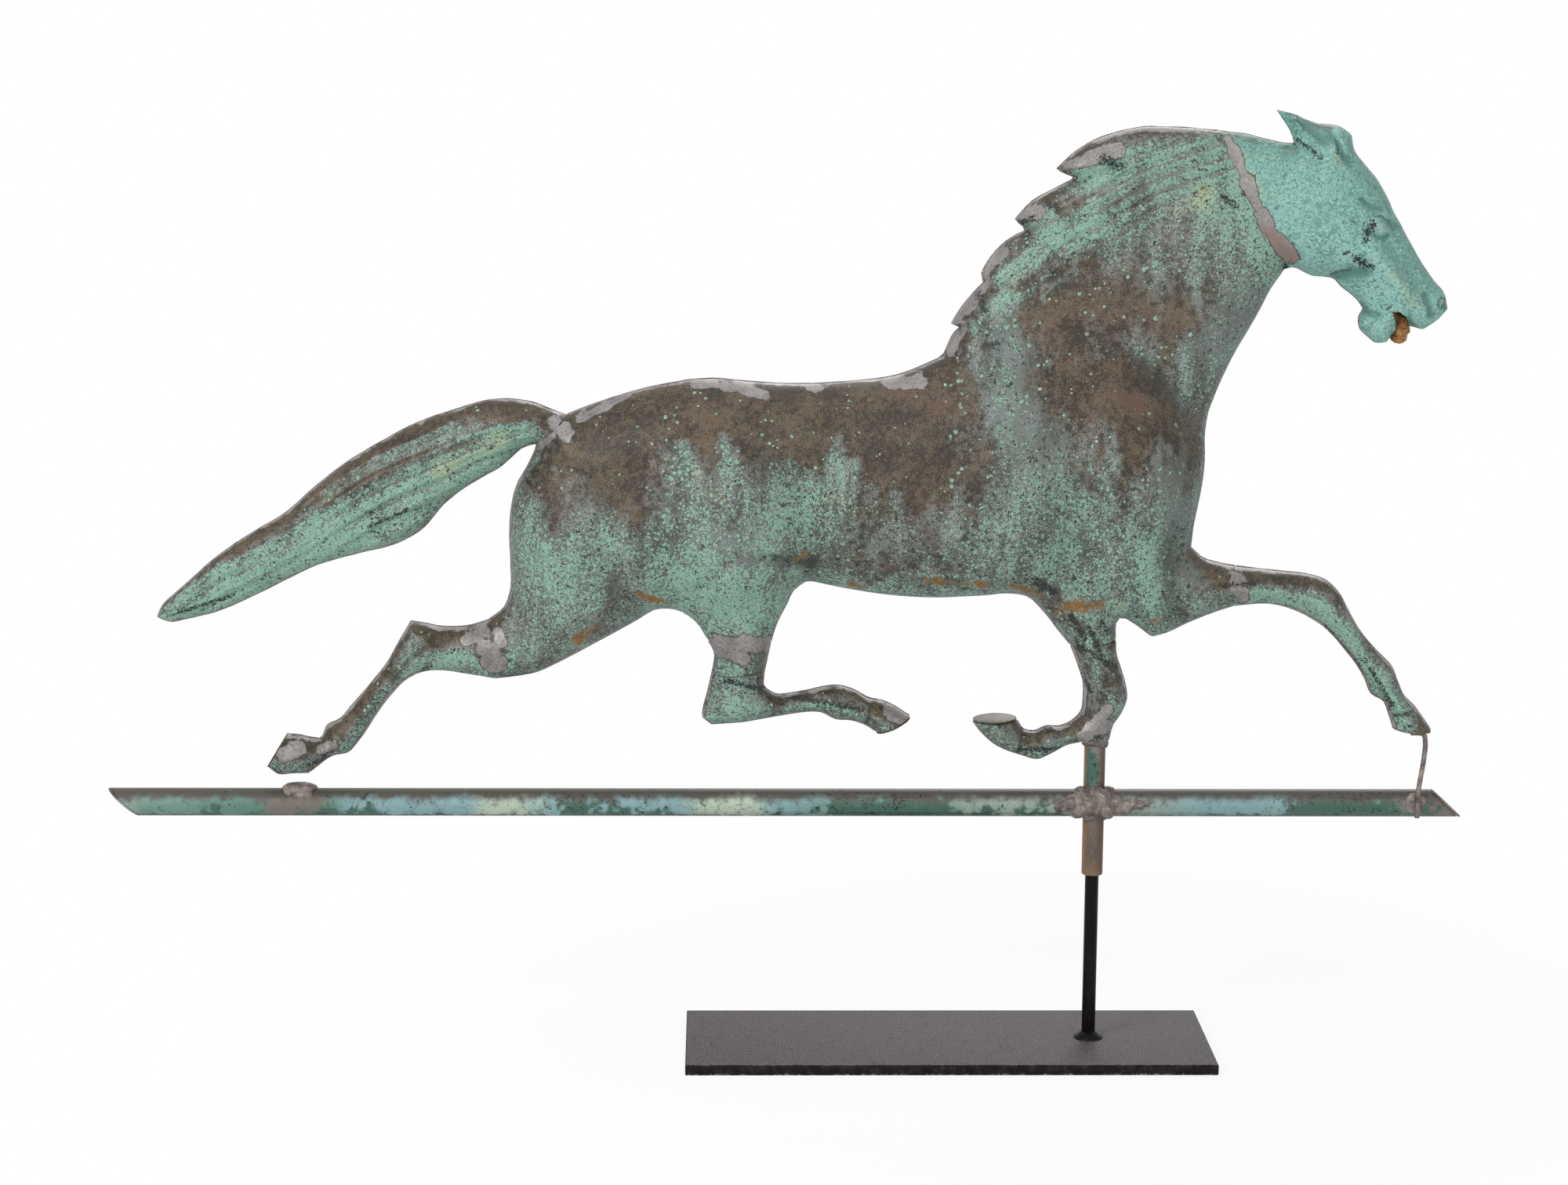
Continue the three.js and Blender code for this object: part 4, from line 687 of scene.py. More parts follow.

# %% Solder, gilding, black, painted shade, slate, pale and rust: the width of a stroke and its pixels
STAIN_STROKES = {
    "solder": [
        (5, [(1566, 176), (1570, 186)]), (8, [(1573, 192), (1579, 206)]), (5, [(1579, 206), (1587, 224)]),
        (9, [(1590, 230), (1597, 248)]), (6, [(1597, 248), (1608, 270)]), (11, [(1610, 274), (1616, 288)]),
        (8, [(1616, 288), (1628, 306)]), (12, [(1630, 308), (1644, 326)]), (7, [(1362, 212), (1372, 208)]),
        (12, [(1385, 202), (1405, 195)]), (11, [(1405, 195), (1425, 191)]),
        (5, [(1395, 180), (1420, 170), (1455, 164), (1530, 166)]), (5, [(1300, 277), (1306, 274)]),
        (10, [(1315, 272), (1325, 270)]), (6, [(1258, 346), (1262, 340)]),
        (9, [(1270, 330), (1282, 320)]), (5, [(1218, 412), (1225, 403)]),
        (10, [(1232, 395), (1245, 375), (1256, 358)]), (6, [(1213, 450), (1222, 430), (1230, 414)]),
        (10, [(1135, 488), (1175, 487)]), (6, [(1032, 494), (1045, 494)]),
        (9, [(925, 492), (950, 496), (975, 505)]), (6, [(885, 490), (912, 490)]),
        (6, [(740, 535), (800, 503)]), (12, [(706, 540), (722, 552)]), (7, [(690, 568), (704, 556)]),
        (18, [(618, 828), (632, 845)]), (10, [(596, 816), (618, 806)]), (8, [(640, 820), (634, 806)]),
        (12, [(912, 820), (985, 822)]), (10, [(915, 830), (950, 840)]), (13, [(1578, 740), (1582, 755)]),
        (8, [(1412, 905), (1390, 930)]), (12, [(362, 962), (380, 955)]), (8, [(410, 955), (425, 950)]),
        (12, [(1135, 905), (1150, 915)]), (9, [(1380, 940), (1410, 925)]),
    ],
    "gilt": [
        (10, [(735, 815), (765, 798)]), (5, [(812, 758), (850, 768)]), (4, [(1012, 715), (1030, 706)]),
        (6, [(1085, 745), (1100, 747)]), (7, [(1180, 742), (1262, 745)]),
        (6, [(1290, 745), (1330, 760)]), (11, [(1345, 780), (1370, 772), (1402, 772)]),
        (4, [(1590, 345), (1594, 360)]), (4, [(1372, 870), (1380, 885)]),
        (6, [(1468, 792), (1480, 790)]),
        (3, [(560, 640), (620, 610), (680, 570)]),
    ],
    "black": [
        (9, [(1751, 285), (1744, 298)]), (6, [(1743, 300), (1741, 306)]),
        (3, [(1714, 324), (1720, 321)]), (10, [(1731, 331), (1741, 336)]), (6, [(1744, 338), (1751, 341)]),
        (4, [(1655, 178), (1668, 188)]), (6, [(1672, 192), (1684, 200)]),
        (11, [(1408, 204), (1428, 212)]), (8, [(1248, 376), (1256, 396)]), (7, [(1338, 260), (1350, 268)]),
        (6, [(1256, 442), (1272, 438)]), (5, [(1300, 286), (1320, 276)]), (7, [(1560, 250), (1575, 262)]),
        (4, [(1372, 822), (1400, 836)]), (5, [(1406, 792), (1412, 806)]),
        (7, [(1366, 786), (1384, 812)]), (6, [(1402, 838), (1424, 850)]),
        (6, [(1300, 905), (1340, 930)]), (6, [(1250, 915), (1275, 925)]),
        (6, [(1388, 800), (1412, 850)]), (5, [(1374, 850), (1392, 882)]), (5, [(1545, 748), (1602, 744)]),
        (5, [(1690, 798), (1732, 850)]), (5, [(1748, 852), (1776, 900)]), (6, [(545, 850), (502, 905)]),
        (5, [(482, 930), (452, 965)]), (6, [(925, 868), (1000, 886)]), (5, [(1012, 888), (1100, 905)]),
        (5, [(640, 862), (700, 858)]), (5, [(1360, 955), (1300, 955)]), (9, [(1320, 740), (1345, 755)]),
        (4, [(470, 672), (520, 650)]), (4, [(215, 785), (300, 758)]), (4, [(395, 975), (420, 965)]),
    ],
    # Painted shade: dark strokes in the nostril, mouth, eye, ear and the creases between parts.
    "dirt": [
        (2, [(1835, 392), (1834, 385), (1838, 379), (1843, 381), (1842, 388), (1838, 393)]),
        (1.8, [(1752, 276), (1762, 275), (1767, 281)]),
        (2.6, [(1697, 350), (1708, 346), (1722, 344)]), (3.5, [(1769, 394), (1774, 391)]),
        (2, [(1652, 153), (1660, 158), (1664, 168)]), (2.2, [(1703, 177), (1706, 187), (1707, 196)]),
        (2, [(1797, 409), (1803, 414)]), (3, [(1724, 281), (1728, 284)]),
        (2.2, [(906, 860), (930, 864), (962, 861)]), (2, [(1368, 826), (1390, 822), (1418, 828)]),
        (2, [(340, 1000), (346, 985), (356, 974)]), (2, [(1560, 762), (1566, 735)]),
    ],
    "slate": [
        (45, [(700, 720), (740, 760)]), (35, [(900, 700), (980, 705)]), (40, [(1290, 500), (1330, 600)]),
        (28, [(1500, 600), (1500, 690)]), (36, [(1540, 440), (1600, 380)]),
        (30, [(1280, 430), (1310, 470)]), (26, [(930, 800), (960, 800)]), (18, [(600, 840), (660, 830)]),
        (22, [(1500, 740), (1540, 730)]), (16, [(930, 860), (960, 900)]),
        (14, [(1360, 945), (1280, 935)]), (20, [(1420, 240), (1520, 230)]),
    ],
    "pale": [
        (16, [(1578, 195), (1640, 192)]), (12, [(1590, 220), (1620, 250)]),
        (14, [(1780, 350), (1800, 385)]), (20, [(890, 600), (920, 640)]),
        (16, [(560, 600), (640, 560)]), (14, [(1050, 640), (1090, 640)]),
        (18, [(1480, 290), (1540, 250)]), (10, [(1420, 700), (1430, 770)]),
        (12, [(1690, 190), (1712, 210)]),
    ],
    "rust": [
        (24, [(1440, 500), (1470, 560)]), (26, [(1380, 430), (1460, 420)]),
        (30, [(1130, 520), (1210, 520)]), (12, [(1652, 205), (1680, 200)]),
        (8, [(1735, 205), (1755, 225)]), (7, [(1783, 345), (1792, 360)]),
        (14, [(1290, 365), (1340, 345)]), (22, [(1090, 700), (1200, 690)]),
        (14, [(1616, 296), (1646, 330)]), (9, [(1697, 164), (1702, 172)]),
        (7, [(1750, 245), (1758, 247)]), (8, [(1805, 370), (1816, 384)]), (9, [(1642, 188), (1660, 192)]),
    ],
}
print("strokes of other stains:", {stain: len(strokes) for stain, strokes in STAIN_STROKES.items()})


def strokes_at(pixels, strokes):
    """How strongly any of the strokes covers each pixel, from 0 to 1."""
    cover = np.zeros(len(pixels))
    for width, line in strokes:
        cover = np.maximum(cover, np.exp(-((stroke_distance(pixels, line) / width) ** 2)))
    return cover


def verdigris_at(pixels):
    """How green each pixel is: each stroke is laid over those before it."""
    cover = np.full(len(pixels), VERDIGRIS_BASE)
    for amount, width, line in VERDIGRIS_STROKES:
        share = np.exp(-((stroke_distance(pixels, line) / width) ** 2))
        cover = cover * (1 - share) + amount * share
    return cover


# %% The stains of a piece, by the place where its right twin shows in the photograph
RIMS = {"body": (1.1 * MM, 0.6), "tail": (1.3 * MM, 0.6), "head": (1 * MM, 0)}
LEG_RIM = (1.9 * MM, 0.62)


def stains_of(name, points, depth, inset):
    """Values of every stain at each point. Solder also runs along the edges, widest on the legs."""
    pixels = pixels_of(np.stack([points[:, 0], -depth, points[:, 1]], axis=1))
    found = {stain: strokes_at(pixels, strokes) for stain, strokes in STAIN_STROKES.items()}
    width, strength = RIMS.get(name, LEG_RIM)
    found["solder"] = np.maximum(found["solder"], strength * np.exp(-((inset / width) ** 2)))
    found["verdigris"] = verdigris_at(pixels)
    return found


# %% [markdown]
# ## Drawing each half
#
# Inside the outline go two rows of points close to the edge, where the sheet turns fastest, and an
# even staggered grid. Delaunay's rule joins them into even triangles. Each point is then pushed out
# to its depth, and a plain back on the seam closes the half.

# %% Points inside an outline
ROWS = (0.2 * MM, 0.7 * MM)
ROW_SHARE = 0.9
JOINING_REACH = 1e-7


def inside_grid(line, spacing, margin):
    """A staggered grid of points inside the outline, kept clear of it by a margin."""
    low, high = line.min(0), line.max(0)
    following = np.roll(line, -1, axis=0)
    found = []
    for row, z in enumerate(np.arange(low[1] + spacing / 3, high[1], spacing * math.sin(math.pi / 3))):
        crossing = (line[:, 1] > z) != (following[:, 1] > z)
        a, b = line[crossing], following[crossing]
        cuts = np.sort(a[:, 0] + (z - a[:, 1]) / (b[:, 1] - a[:, 1]) * (b[:, 0] - a[:, 0]))
        xs = np.arange(low[0] + (row % 2) * spacing / 2, high[0], spacing)
        found += [(x, z) for x in xs[np.searchsorted(cuts, xs) % 2 == 1]]
    found = np.array(found)
    clear = [
        distances(found[first : first + CHUNK], line, following).min(1)
        for first in range(0, len(found), CHUNK)
    ]
    return found[np.concatenate(clear) > margin]


def edge_rows(line):
    """Rows of points that follow the outline just inside it."""
    following = np.roll(line, -1, axis=0)
    found = []
    for row in ROWS:
        points = line + inward_of(line) * row
        found.append(points[distances(points, line, following).min(1) > ROW_SHARE * row])
    return np.concatenate(found)


def filled(line, inner):
    """Triangles over an outline and the points inside it: the points used, and the triangles."""
    corners = [Vector(point) for point in np.concatenate([line, inner])]
    edges = [(i, (i + 1) % len(line)) for i in range(len(line))]
    points, _, faces, *_ = delaunay_2d_cdt(corners, edges, [], 1, JOINING_REACH)
    return np.array([tuple(point) for point in points]), faces


# %% A closed half with its stains
BACK_SPACING = {"body": 8 * MM, "tail": 8 * MM, "head": 2.5 * MM}
LEG_BACK_SPACING = 5 * MM
LEAST_WASHED = -0.2


def add_half(name, which, rows, faces, stains):
    """One closed half on the vane, with its stains and how far it faces the rain as attributes."""
    mesh = bpy.data.meshes.new(f"{name}_{which}_skin")
    mesh.from_pydata(rows, [], faces)
    mesh.update()
    normals = np.zeros(3 * len(rows))
    mesh.vertices.foreach_get("normal", normals)
    for stain, values in {**stains, "washed": np.clip(normals[2::3], LEAST_WASHED, 1)}.items():
        mesh.attributes.new(stain, "FLOAT", "POINT").data.foreach_set("value", values)
    piece = bpy.data.objects.new(mesh.name, mesh)
    bpy.context.collection.objects.link(piece)
    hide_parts(f"{name}_{which}")
    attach(piece, "vane")
    return piece


# %% The two halves of a form
def draw_form(name):
    """Both halves of a form: a beaten front, a plain back on the seam, and a rim between them."""
    line = outlines[name][0]
    spacing = SPACING.get(name, LEG_SPACING)
    inner = np.concatenate([edge_rows(line), inside_grid(line, spacing, ROWS[-1] + spacing / 2)])
    front, front_faces = filled(line, inner)
    back_spacing = BACK_SPACING.get(name, LEG_BACK_SPACING)
    back, back_faces = filled(line, inside_grid(line, back_spacing, back_spacing / 2))
    flat = np.stack([front[:, 0], np.zeros(len(front)), front[:, 1]], axis=1)
    depth, inset, tone = depth_of(name, front, strokes_at(pixels_of(flat), STAIN_STROKES["solder"]))
    seam = np.full(len(back), JOINT_GAP)
    if name == "head":
        seam = np.maximum(seam, ear_opening(back)[0])
    behind, rim = len(front), len(line)
    bare = np.zeros(len(back) - rim)
    # The relief's painted shade and highlight go on the mesh with the stains.
    stains = {**stains_of(name, front, depth, inset), "tone": tone}
    stains = {stain: np.concatenate([values, values[:rim], bare]) for stain, values in stains.items()}
    faces = [list(face) for face in front_faces]
    faces += [[behind + i for i in reversed(face)] for face in back_faces]
    faces += [[i, behind + i, behind + (i + 1) % rim, (i + 1) % rim] for i in range(rim)]
    pieces = []
    for side, which in ((-1, "right"), (1, "left")):
        rows = [(x, side * y, z) for (x, z), y in zip(front, depth)]
        rows += [(x, side * y, z) for (x, z), y in zip(back, seam)]
        turned = faces if side < 0 else [face[::-1] for face in faces]
        pieces.append(add_half(name, which, rows, turned, stains))
    return pieces


skins = {name: draw_form(name) for name in FORMS}
for name, pair in skins.items():
    print(name, "faces of a half:", len(pair[0].data.polygons))

# %% [markdown]
# The plain back must not shade as one surface with the beaten front, or the edge would look soft and
# smeared, so the sharp turn at the seam is marked as sharp.

# %% Sharp edges at the seam
EDGE_ANGLE = math.radians(50)


def chosen(*pieces):
    """Selects these pieces alone, the first one active, and gives the first."""
    bpy.ops.object.select_all(action="DESELECT")
    for piece in pieces:
        piece.select_set(True)
    bpy.context.view_layer.objects.active = pieces[0]
    return pieces[0]


for pair in skins.values():
    chosen(*pair)
    bpy.ops.object.shade_smooth_by_angle(angle=EDGE_ANGLE)
print("halves shaded smooth:", 2 * len(skins))

# %% [markdown]
# ## The bead of solder along the seam
#
# The halves were joined by running solder round the whole outline. It stands as a thin, uneven
# bead. A path of edges follows each rounded run of the outline, is turned into a curve with a
# round section, and becomes a mesh again.

# %% Seam bead
BEAD_RADIUS = 0.85 * MM
BEAD_INSET = 0.35 * MM
BEAD_STEP = 3
BEAD_SWELL, BEAD_WAVE = 0.3, 9 * MM
CLOSED_EAR = 0.25 * MM


def bead_paths(name):
    """Stretches of the outline that carry a bead, as lists of points."""
    line, edges = outlines[name]
    if name == "head":
        edges = edges & ~(ear_opening(line)[0] > CLOSED_EAR)
    places = line + inward_of(line) * BEAD_INSET
    start = int(np.argmin(edges))
    path = []
    for i in [(start + step) % len(line) for step in range(len(line) + 1)]:
        if edges[i]:
            path.append(places[i])
            continue
        if len(path) > BEAD_STEP:
            yield path[::BEAD_STEP] + [path[-1]]
        path = []


def seam_bead(name):
    """The bead of a form: its paths as a curve with a round section, made into a mesh."""
    rows, stretches = [], []
    for path in bead_paths(name):
        stretches += [(len(rows) + i, len(rows) + i + 1) for i in range(len(path) - 1)]
        rows += [(x, 0, z) for x, z in path]
    mesh = bpy.data.meshes.new(f"{name}_seam_bead")
    mesh.from_pydata(rows, stretches, [])
    bead = bpy.data.objects.new(mesh.name, mesh)
    bpy.context.collection.objects.link(bead)
    chosen(bead)
    bpy.ops.object.convert(target="CURVE")
    bead.data.bevel_depth = BEAD_RADIUS
    bead.data.bevel_resolution = 1
    bead.data.use_fill_caps = True
    for spline in bead.data.splines:
        for point in spline.points:
            point.radius = 1 + BEAD_SWELL * noise.noise(point.co.xyz / BEAD_WAVE)
    bpy.ops.object.convert(target="MESH")
    bpy.ops.object.shade_smooth()
    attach(bead, "vane")
    return bead


beads = {name: seam_bead(name) for name in FORMS}
print("seam beads:", {name: len(bead.data.polygons) for name, bead in beads.items()})

# %% [markdown]
# ## The plain metal pieces
#
# The rod, its caps, the sleeve, the spindle, the weld, the wire, the soles and the plate already
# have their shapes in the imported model. Its triangles are loose, so a copy is merged before its
# edges are broken and its round faces shaded smooth.

# %% Merged copies
FLAT_ANGLE = math.radians(0.5)


def merged_copy(node, body="vane", bevel=0, angle=EDGE_ANGLE):
    """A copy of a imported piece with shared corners, no lines across its flats, and soft edges."""
    piece = bpy.data.objects.new(node + "_finished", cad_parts[node].data.copy())
    piece.data.materials.clear()
    bpy.context.collection.objects.link(piece)
    chosen(piece)
    bpy.ops.object.mode_set(mode="EDIT")
    bpy.ops.mesh.select_all(action="SELECT")
    bpy.ops.mesh.remove_doubles(threshold=TOUCH)
    bpy.ops.mesh.dissolve_limited(angle_limit=FLAT_ANGLE)
    bpy.ops.object.mode_set(mode="OBJECT")
    if bevel:
        edge = piece.modifiers.new("edge", "BEVEL")
        edge.width = bevel
        edge.segments = 2
        edge.limit_method = "ANGLE"
        edge.angle_limit = angle
        bpy.ops.object.modifier_apply(modifier=edge.name)
    bpy.ops.object.shade_smooth_by_angle(angle=angle)
    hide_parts(node)
    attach(piece, body)
    return piece


# %% The rod, sleeve, wire, stand and soles
rod = merged_copy("directional_rod")
caps = [merged_copy(name, bevel=0.25 * MM) for name in ("rod_cap_rear", "rod_cap_front")]
sleeve = merged_copy("pivot_sleeve")
wire = merged_copy("prop_wire", angle=math.radians(60))
plate = merged_copy("base_plate", body="stand", bevel=0.3 * MM, angle=math.radians(30))
spindle = merged_copy("stand_spindle", body="stand")
weld = merged_copy("spindle_weld", body="stand", angle=math.radians(80))
SOLES = ("sole_hind_stretched", "sole_hind_folded", "sole_fore_folded", "sole_fore_stretched")
soles = [merged_copy(name, bevel=0.3 * MM) for name in SOLES]
for piece in (rod, sleeve, wire, plate, spindle, weld):
    print(piece.name, "faces:", len(piece.data.polygons))

# %% [markdown]
# ## Lumps of solder
#
# Solder was ladled onto the rod and wiped while it was soft. Each lump starts as balls set into
# each other, which a remesh joins into one skin. It is then smoothed and given small lumps.

# %% A lump from balls
BALL_FINENESS = 3
WIPE_ROUNDS = 6
LUMP_BUMPS = ((1, 2.6 * MM), (0.5, 1.1 * MM))
ROD_Z = (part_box("directional_rod")[0].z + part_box("directional_rod")[1].z) / 2
ROD_RADIUS = (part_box("directional_rod")[1].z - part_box("directional_rod")[0].z) / 2


def on_rod(x, turn, lift):
    """A place on the rod: x along it, degrees from its top towards the near side, and its lift."""
    reach, angle = ROD_RADIUS + lift * MM, math.radians(turn)
    return Vector((x * MM, -reach * math.sin(angle), ROD_Z + reach * math.cos(angle)))


def lump(name, balls, voxel, roughness, node=None):
    """One lump from balls, each a place, a radius and a flattening along x, y and z."""
    parts = []
    for place, radius, scale in balls:
        bpy.ops.mesh.primitive_ico_sphere_add(
            subdivisions=BALL_FINENESS, radius=radius * MM, location=place, scale=scale,
        )
        parts.append(bpy.context.object)
    piece = chosen(*parts)
    bpy.ops.object.join()
    bpy.ops.object.transform_apply(location=True, rotation=True, scale=True)
    piece.name = piece.data.name = name
    joined = piece.modifiers.new("joined", "REMESH")
    joined.mode = "VOXEL"
    joined.voxel_size = voxel * MM
    bpy.ops.object.modifier_apply(modifier=joined.name)
    wiped = piece.modifiers.new("wiped", "SMOOTH")
    wiped.iterations = WIPE_ROUNDS
    bpy.ops.object.modifier_apply(modifier=wiped.name)
    for vert in piece.data.vertices:
        bump = sum(rise * noise.noise(vert.co / size) for rise, size in LUMP_BUMPS)
        vert.co += vert.normal * bump * roughness * MM
    bpy.ops.object.shade_smooth()
    if node:
        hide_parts(node)
    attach(piece, "vane")
    print(name, "faces:", len(piece.data.polygons))
    return piece


# %% The lumps on the rod
EVEN = (1, 1, 1)
FLAT_NEAR = (1, 0.55, 1)
star = lump(
    "post_solder_star",
    [
        (on_rod(-20, 98, -0.6), 3.6, EVEN), (on_rod(-14, 80, -1.2), 5, EVEN),
        (on_rod(-10, 112, -1.4), 5.4, EVEN), (on_rod(-8, 62, -1.4), 5.4, EVEN),
        (on_rod(-2, 88, -0.8), 6.6, EVEN), (on_rod(5, 62, -1), 5.8, EVEN),
        (on_rod(7, 112, -1.2), 5.6, EVEN), (on_rod(11, 88, -0.8), 5.8, EVEN),
        (on_rod(18, 96, -0.8), 4.4, EVEN), (on_rod(22, 80, -1.2), 3.6, EVEN),
        (on_rod(26, 86, -0.6), 3, EVEN), (on_rod(30, 80, -0.5), 2.2, EVEN),
        (on_rod(-3, 136, -1), 4.8, EVEN), (on_rod(4, 140, -1.2), 4.4, EVEN),
        (on_rod(-8, 22, -1), 4.2, EVEN), (on_rod(8, 22, -1), 4.2, EVEN), (on_rod(0, 32, 0.2), 4.8, EVEN),
    ],
    voxel=0.55, roughness=0.55, node="post_solder",
)

# %% The old button under the hoof, and the pad at the wire's foot
BUTTON_RISE, BUTTON_SINK, BUTTON_SHARE = 3.6, 3.2, 0.9
stub_low, stub_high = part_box("hoof_solder_stub")
stub_half = (stub_high - stub_low) / 2 / MM
stub_middle = (stub_low.x + stub_high.x) / 2 / MM
stub_lift = (stub_high.z - ROD_Z - ROD_RADIUS) / MM - BUTTON_SINK
stub_scale = (1, BUTTON_SHARE * stub_half.y / stub_half.x, BUTTON_RISE / stub_half.x)
LONG = (1.6, 1, 1)
stub = lump(
    "hoof_solder_button",
    [
        (on_rod(stub_middle, 0, stub_lift), BUTTON_SHARE * stub_half.x, stub_scale),
        (on_rod(stub_middle - 2, 14, -2.6), 5.4, LONG), (on_rod(stub_middle + 3, 40, -2.4), 3.8, LONG),
    ],
    voxel=0.55, roughness=0.25, node="hoof_solder_stub",
)
pad_low, pad_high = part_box("prop_solder")
pad_middle = (pad_low.x + pad_high.x) / 2 / MM
pad = lump(
    "prop_solder_pad",
    [
        (on_rod(pad_middle, 78, -1), 6.2, (1, 0.42, 1)), (on_rod(pad_middle - 4, 84, -1.4), 3.6, FLAT_NEAR),
        (on_rod(pad_middle + 4, 72, -1.4), 3.6, FLAT_NEAR),
    ],
    voxel=0.5, roughness=0.25, node="prop_solder",
)

# %% Solder where the folded foreleg meets the sleeve
CUFF_BALLS, CUFF_SINK, CUFF_LIFT, CUFF_SLANT = 14, 0.8, 19, 1.4
CUFF_RADIUS, CUFF_SCALE = 2.6, (1, 1, 1.25)
cuff_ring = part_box("pivot_sleeve")[1].x / MM - CUFF_SINK
cuff_balls = []
for turn in np.arange(CUFF_BALLS) * math.tau / CUFF_BALLS:
    lift = CUFF_LIFT + CUFF_SLANT * math.cos(turn + 2)
    place = Vector((cuff_ring * math.cos(turn), cuff_ring * math.sin(turn), HOOF / MM + lift)) * MM
    cuff_balls.append((place, CUFF_RADIUS, CUFF_SCALE))
cuff = lump("foreleg_solder_cuff", cuff_balls, voxel=0.5, roughness=0.22)

# %% The filler in the mouth
PLUG_SPREAD = (-0.45, 0, 0.45)
PLUG_BALLS = (
    (-3.6, 6.5, 3.4), (-1.5, 3, 4.6), (2.5, 2, 3.6), (-0.5, -2, 4.6), (3.2, -2.5, 3.8), (1.2, -6.5, 4.4),
)
plug_low, plug_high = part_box("mouth_plug")
plug_middle, plug_depth = (plug_low + plug_high) / 2, (plug_high - plug_low).y / 2 / MM
filler = lump(
    "mouth_filler",
    [
        (plug_middle + Vector((across, share * plug_depth, up)) * MM, radius, EVEN)
        for share in PLUG_SPREAD
        for across, up, radius in PLUG_BALLS
    ],
    voxel=0.5, roughness=0.55, node="mouth_plug",
)

# %% [markdown]
# ## How a material is made
#
# Each material has named parts: noise of several sizes and, on the copper, the stains of the mesh.
# Parts are added up, each with its weight. Where a sum passes a limit one colour covers another, so
# the noise breaks the edge of every stain and no stroke shows.

# %% The start and the end of a material
DRAWN_OUT = ("cloud", "patch")
DRAWN_SCALE = (1, 1, 0.3)


def patterned(name, grains):
    """A new material, its tree, and its parts: the place, and noise by name with size and detail."""
    material, tree = new_material(name)
    place = add_node(tree, "ShaderNodeTexCoord").outputs["Object"]
    parts = {"place": place}
    for grain, (size, detail) in grains.items():
        inputs = {"Vector": place, "Scale": 1 / (size * MM), "Detail": detail}
        if grain in DRAWN_OUT:
            drawn = {"Vector": place, "Scale": DRAWN_SCALE}
            inputs["Vector"] = add_node(tree, "ShaderNodeMapping", drawn).outputs[0]
        parts[grain] = add_node(tree, "ShaderNodeTexNoise", inputs).outputs[0]
    return material, tree, parts


def shaded(tree, skin, roughness, metallic, height, bump_strength, bump_depth, specular=0.5):
    """Ends a material: colour, gloss and fine relief go to the shader, and the shader to the output."""
    bump = {"Height": height, "Strength": bump_strength, "Distance": bump_depth * MM}
    inputs = {
        "Base Color": skin, "Roughness": roughness, "Metallic": metallic, "Specular IOR Level": specular,
        "Normal": add_node(tree, "ShaderNodeBump", bump).outputs[0],
    }
    shader = add_node(tree, "ShaderNodeBsdfPrincipled", inputs)
    add_node(tree, "ShaderNodeOutputMaterial", {"Surface": shader.outputs[0]})
    print("material nodes:", len(tree.nodes))


# %% Sums of parts, and what they do
def weighed(tree, parts, plus=0, **weights):
    """Adds up named parts, each times its weight, and a plain number."""
    total = plus
    for name, weight in weights.items():
        terms = {0: parts[name], 1: weight, 2: total}
        total = add_node(tree, "ShaderNodeMath", terms, operation="MULTIPLY_ADD").outputs[0]
    return total


def graded(tree, parts, stops, **weights):
    """A colour that runs through the stops, each a place and a hex colour, as a sum of parts grows."""
    node = add_node(tree, "ShaderNodeValToRGB", {0: weighed(tree, parts, **weights)})
    while len(node.color_ramp.elements) < len(stops):
        node.color_ramp.elements.new(1)
    for element, (place, code) in zip(node.color_ramp.elements, stops):
        element.position = place
        element.color = colour(code)
    return node.outputs[0]


def covered(tree, parts, under, over, low, high, plus=0, **weights):
    """One colour covers another as a sum of parts goes from low to high: the colour, and how far."""
    under, over = (colour(tint) if isinstance(tint, str) else tint for tint in (under, over))
    limits = {"Value": weighed(tree, parts, plus, **weights), "From Min": low, "From Max": high}
    share = add_node(tree, "ShaderNodeMapRange", limits, interpolation_type="SMOOTHSTEP").outputs[0]
    return add_node(tree, "ShaderNodeMix", {0: share, 6: under, 7: over}, data_type="RGBA").outputs[2], share


# %% [markdown]
# ## Old sheet copper
#
# Real sheet copper turns brown in a year and green in twenty. The brown is a thin oxide that keeps
# a dull gloss: olive where it lies flat, redder where it is thin, and under a thin grey-green film
# near the verdigris. Noise of six sizes breaks the stains, and the largest are drawn out downwards,
# as rain runs.

# %% Parts of the copper, and its brown oxide under the film
COPPER_GRAINS = {
    "cloud": (40, 2), "mottle": (20, 4), "patch": (11, 3), "fleck": (3.6, 3), "grain": (1.5, 2),
    "speck": (0.8, 1),
}
CELLS = {"wide": 3.2, "middle": 2.4, "small": 1.3}
# Two of these are painted light, not stains: the relief's shade and highlight, and the dark strokes of
# shade.
STAINS = ("verdigris", "solder", "gilt", "black", "slate", "pale", "rust", "dirt", "tone", "washed")
RED_OXIDE, SLATE = "#573f33", "#6f7572"


def add_stains(tree, parts):
    """Adds the mesh's stains to the parts, and cells of three sizes to sow specks in."""
    for name in STAINS:
        parts[name] = add_node(tree, "ShaderNodeAttribute", attribute_name=name).outputs["Fac"]
    for name, size in CELLS.items():
        inputs = {"Vector": parts["place"], "Scale": 1 / (size * MM)}
        cell = add_node(tree, "ShaderNodeTexVoronoi", inputs).outputs
        parts[name + "_chance"], parts[name + "_reach"] = cell["Color"], cell["Distance"]


